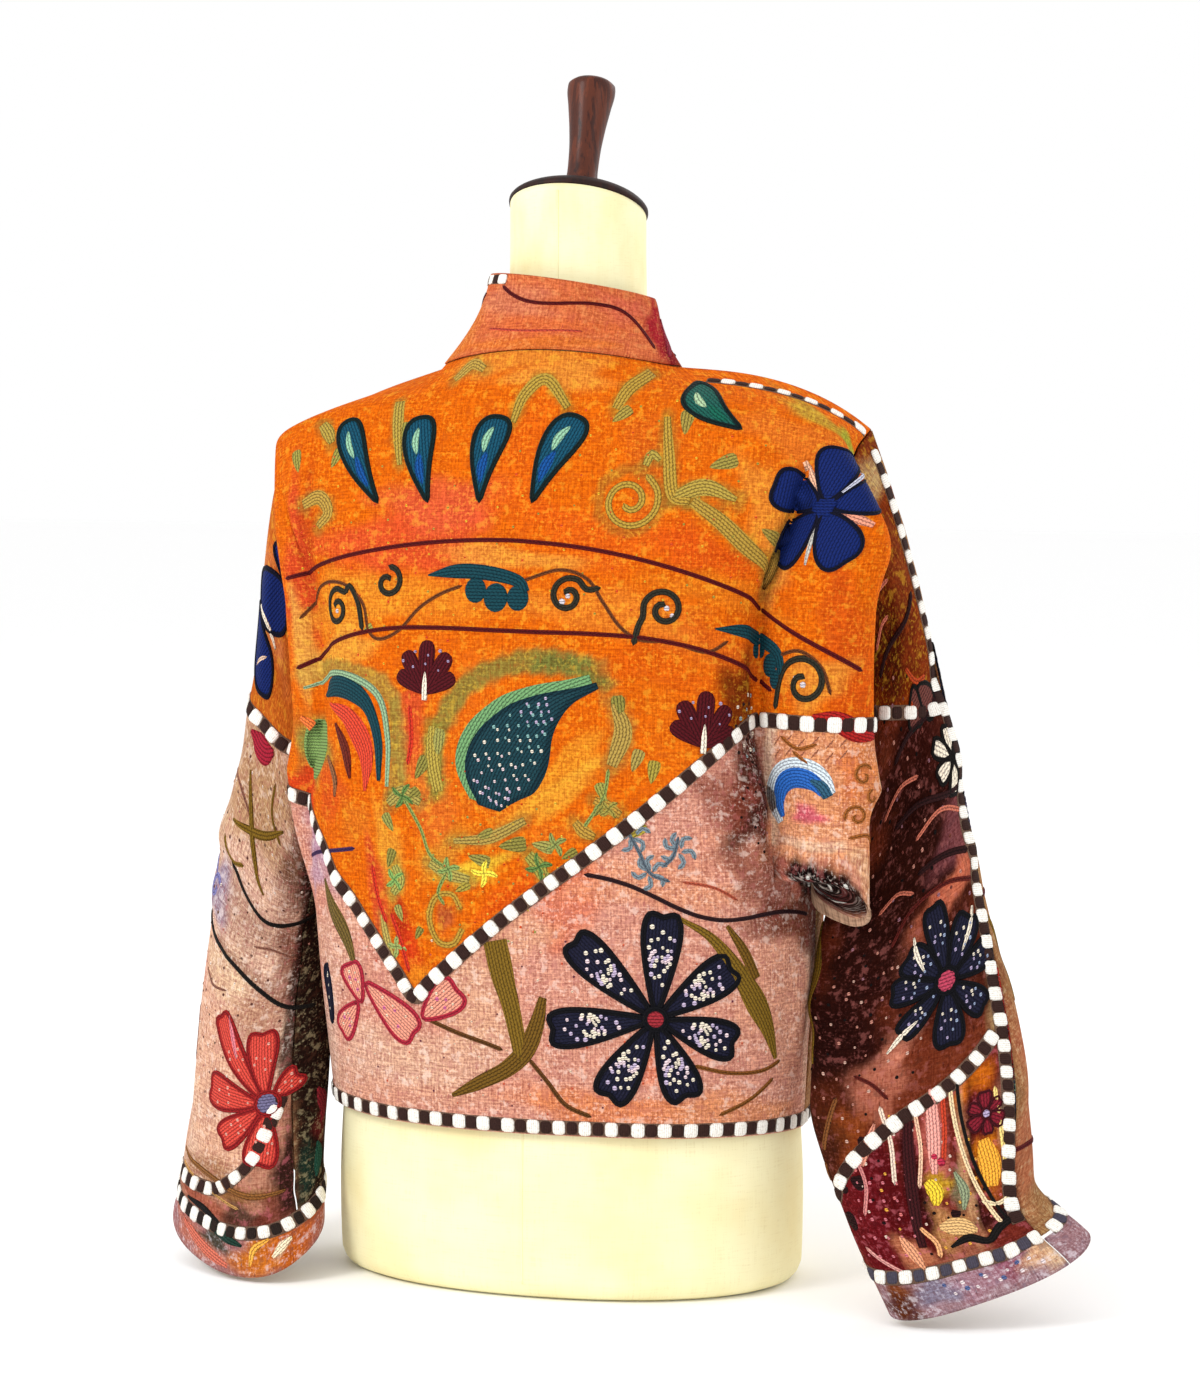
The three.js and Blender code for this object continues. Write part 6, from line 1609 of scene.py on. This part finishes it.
# the hidden front of the sleeve
flower(on_left, 290, 330, ((90, 42), (36, 40), (-20, 44), (-76, 40), (-130, 42), (170, 40)), NIGHT,
       "#08080F", 29, CRIMSON, 7, 3, (BONE, LILAC), 9, 0.34, 5, 1.8)
flower(on_left, 250, 170, ((100, 40), (28, 38), (-44, 42), (-116, 38), (172, 40)), "#F3C6C0", WINE, 28, BLUE,
       6, 3, ("#C9A9C4",), 4, 0.32, 5, 1.7)
paisley(on_left, [(380, 250), (386, 270), (376, 292), (358, 306)], [2, 13, 15, 7, 0.8], WINE, "#A23A34",
        ("#F2C9A0",), 12)
vine(on_left, OXBLOOD, [(170, 256), (240, 250), (310, 258), (400, 250)], [(190, 100), (260, 92), (330, 100)],
     half=1.7, crown=1.0)
on_left.line(OLIVE, [(190, 300), (178, 340), (186, 390)], [1, 5, 5, 1], 1.0)
almond(on_left, (202, 398), (198, 442), 18)
almond(on_left, (352, 380), (368, 422), 18, BLUE)
on_left.line(OLIVE, [(-100, 200), (-108, 150), (-100, 100)], [1, 4, 4, 1], 1.0)

# ---- needlework on the collar --------------------------------------------------------------------
on_collar = Needlework("needlework_collar", collar)
vine(
    on_collar, OXBLOOD, arched(-40, 50, 88, 12, 12, -10, 1), arched(-118, 20, -66, 46, 5),
    arched(124, 12, 176, 40, 8), half=1.5, crown=0.9)
vine(on_collar, "#C24A3A", [(-44, 20), (-10, 16), (30, 18)], [(-180, 26), (-160, 40), (-140, 34)], half=1.1,
     crown=0.5)
for tint, way, half, crown in (
    ("#8E1830", [(104, 6), (110, 26), (106, 44)], [2, 6, 6, 2], 0.9),
    (OLIVE, [(190, 14), (204, 30), (220, 36)], [1, 3, 1], 0.8),
    (OLIVE, [(-222, 16), (-206, 32), (-190, 38)], [1, 3, 1], 0.8)):
    on_collar.line(tint, way, half, crown)

needlework = {name: work.sew(thread) for name, work in
              dict(back=on_back, front=on_front, right=on_right, left=on_left, collar=on_collar).items()}


# ---- the dress form ------------------------------------------------------------------------------
# height, half width, half depth, centre
FORM = [
    (0, 158, 100, 0), (3, 166, 107, 0), (12, 171, 112, 0), (60, 172, 113, 0), (112, 170, 111, 0),
    (165, 160, 106, 0), (225, 142, 98, 0), (295, 127, 92, 0), (365, 142, 102, 0), (435, 158, 108, 0),
    (505, 160, 101, -1), (555, 158, 83, -3), (591, 151, 64, -3), (614.3, 140, 46, -1), (628.3, 127, 32, 5),
    (638.3, 111, 21, 10), (644.3, 92, 12, 12)]
FORM_NECK = [(560, 66, 58, -8), (600, 62, 55, -14), (630, 58, 54, -17), (655, 53, 51, -19),
             (680, 50, 49, -20), (706, 49, 49, -20)]
# radius, height above the slanted top of the neck
CAP = [(50, -0.3), (50.5, 2.2), (47, 6.5), (38, 11), (26, 14.5), (15, 16.2)]
FINIAL = [(13.5, 16.7), (11.8, 21), (11, 30), (11.4, 45), (13, 62), (15.6, 80), (17.4, 92), (17.2, 96),
          (14, 99)]
OVAL = 2.15


def oval_ring(height, wide, deep, y, angle):
    return vec(wide * sgn_pow(np.cos(angle), 2 / OVAL), y + deep * sgn_pow(np.sin(angle), 2 / OVAL),
               height + 0 * angle)


def lofted(rings, knots, steps, around):
    """Points of a smooth skin through rings, rows at the given steps."""
    rows = [through(knots, rings, np.full(around, s)) for s in steps]
    return np.stack(rows)


def closed_faces(rows, around, start=0):
    faces = grid_quads(rows, around, False, start, wrap=True).tolist()
    last = start + (rows - 1) * around
    return faces + [list(range(start + around - 1, start - 1, -1)), list(range(last, last + around))]


def on_cap(r, h, angle):
    """A point square to the slanted top of the neck."""
    c, s = math.cos(CAP_TILT), math.sin(CAP_TILT)
    x, y = r * np.cos(angle), r * np.sin(angle)
    return vec(x, NECK_TOP["y"] + y * c - h * s, NECK_TOP["z"] + y * s + h * c)


AROUND = 96
angle = np.arange(AROUND) * 2 * np.pi / AROUND
torso_rings = [oval_ring(*row, angle) for row in FORM]
torso_knots = [row[0] for row in FORM]
torso_steps = np.unique(np.concatenate([np.array(torso_knots, float), np.arange(6, 600, 9.0),
                                        np.arange(600, 644, 3.5)]))
torso = lofted(torso_rings, torso_knots, torso_steps, AROUND)
slant = math.tan(CAP_TILT)
neck_ring = lambda drop, share: vec(
    NECK_TOP["r"] * np.cos(angle), NECK_TOP["y"] + NECK_TOP["r"] * np.sin(angle),
    NECK_TOP["z"] - drop + NECK_TOP["r"] * np.sin(angle) * slant * share)
neck_rings = [oval_ring(*row, angle) for row in FORM_NECK] + [neck_ring(24, 0.6), neck_ring(1, 1)]
neck_knots = np.arange(len(neck_rings), dtype=float)
neck = lofted(neck_rings, neck_knots, np.linspace(0, neck_knots[-1], 43), AROUND)
points = np.concatenate([torso.reshape(-1, 3), neck.reshape(-1, 3)])
faces = closed_faces(len(torso), AROUND) + closed_faces(len(neck), AROUND, len(torso) * AROUND)
arc = np.tile(angle / (2 * np.pi) * 900, len(torso) + len(neck))
make_piece("dress_form", points, faces, cover, None, {"cut": np.c_[arc, points[:, 2]]}, None,
           ["form_torso"])


def seam_cord(name, row, radius=0.7):
    """A fine corded seam up the cover, along one row of points."""
    ring = np.arange(8) * 2 * np.pi / 8
    ahead = np.gradient(row, axis=0)
    ahead /= np.linalg.norm(ahead, axis=1, keepdims=True)
    out = np.cross(ahead, [1.0, 0, 0])
    out /= np.linalg.norm(out, axis=1, keepdims=True)
    wide = np.cross(ahead, out)
    points = (row[:, None] + radius * (np.cos(ring)[:, None] * out[:, None] + np.sin(ring)[:, None]
                                       * wide[:, None]))
    points = points.reshape(-1, 3)
    cord = make_piece(name, points, closed_faces(len(row), 8), cover, None, {"cut": points[:, [0, 2]]}, None,
                      ())
    return cord


middle_back, middle_front = AROUND // 4, 3 * AROUND // 4
seam_cord("form_seam_back", torso[3:-6, middle_back])
seam_cord("form_seam_front", torso[3:-6, middle_front])
seam_cord("form_neck_seam_back", neck[4:-1, middle_back])


def turned_piece(name, profile, finish, node, count):
    """A turned wooden piece on the slanted neck top."""
    around = 64
    angle = np.arange(around) * 2 * np.pi / around
    rings = [on_cap(r, h, angle) for r, h in profile]
    knots = np.concatenate([[0], np.cumsum([math.hypot(r1 - r0, h1 - h0) for (r0, h0), (r1, h1)
                                            in zip(profile, profile[1:])])])
    skin = lofted(rings, knots, np.linspace(0, knots[-1], count), around)
    place = skin.reshape(-1, 3)
    return make_piece(name, place, closed_faces(count, around), finish, None, {"cut": place}, None, [node])


turned_piece("wooden_cap", CAP, dark_wood, "form_cap", 24)
turned_piece("wooden_finial", FINIAL, red_wood, "form_finial", 44)


for side in ("right", "left"):
    on_body = [trims["hem_" + side], trims["front_" + side]]
    on_body += [needlework["front"]] if side == "right" else [trims["shoulder_left"]]



# ---- floor, light and camera ---------------------------------------------------------------------
FLOOR_REACH = 14.0            # metres from the middle to each edge
MIDDLE = (0, 0, 0.42)         # what the lamps are turned to, in metres
CAMERA_PLACE = (-0.8119, 2.5751, 0.640)
LOOK_AT = (0, 0, 0.418)
LENS = 112.5                  # focal length on a 36 mm sensor


def soft_floor():
    f = Finish("pale_floor")
    mesh = bpy.data.meshes.new("floor")
    corners = [(x * FLOOR_REACH, y * FLOOR_REACH, 0) for x, y in ((-1, -1), (1, -1), (1, 1), (-1, 1))]
    mesh.from_pydata(corners, [], [(0, 1, 2, 3)])
    mesh.materials.append(f.end({"Base Color": (0.99, 0.99, 0.99, 1), "Roughness": 0.9}))
    floor = bpy.data.objects.new("floor", mesh)
    bpy.context.scene.collection.objects.link(floor)


def area_light(name, place, aim, size, power, tint=(1, 1, 1)):
    lamp = bpy.data.lights.new(name, "AREA")
    lamp.shape, lamp.size, lamp.energy, lamp.color = "DISK", size, power, tint
    made = bpy.data.objects.new(name, lamp)
    bpy.context.scene.collection.objects.link(made)
    made.location = place
    made.rotation_euler = (Vector(aim) - Vector(place)).to_track_quat("-Z", "Y").to_euler()


soft_floor()
area_light("key", (1.6, 2.4, 2.2), MIDDLE, 1.3, 48)
area_light("front_fill", (-1.6, -2.4, 1.9), MIDDLE, 1.6, 22)
area_light("side_fill", (-2.4, 1.2, 1.2), MIDDLE, 1.8, 10)
world = bpy.data.worlds.new("studio")
bpy.context.scene.world = world
world.use_nodes = True
world.node_tree.nodes["Background"].inputs["Color"].default_value = (1, 1, 1, 1)
world.node_tree.nodes["Background"].inputs["Strength"].default_value = 1.0
bpy.context.scene.view_settings.view_transform = "Standard"

lens = bpy.data.cameras.new("camera")
lens.sensor_fit, lens.sensor_width, lens.lens = "HORIZONTAL", 36, LENS
lens.shift_x = 0.025
camera = bpy.data.objects.new("camera", lens)
bpy.context.scene.collection.objects.link(camera)
camera.location = CAMERA_PLACE
camera.rotation_euler = (Vector(LOOK_AT) - camera.location).to_track_quat("-Z", "Y").to_euler()
bpy.context.scene.camera = camera
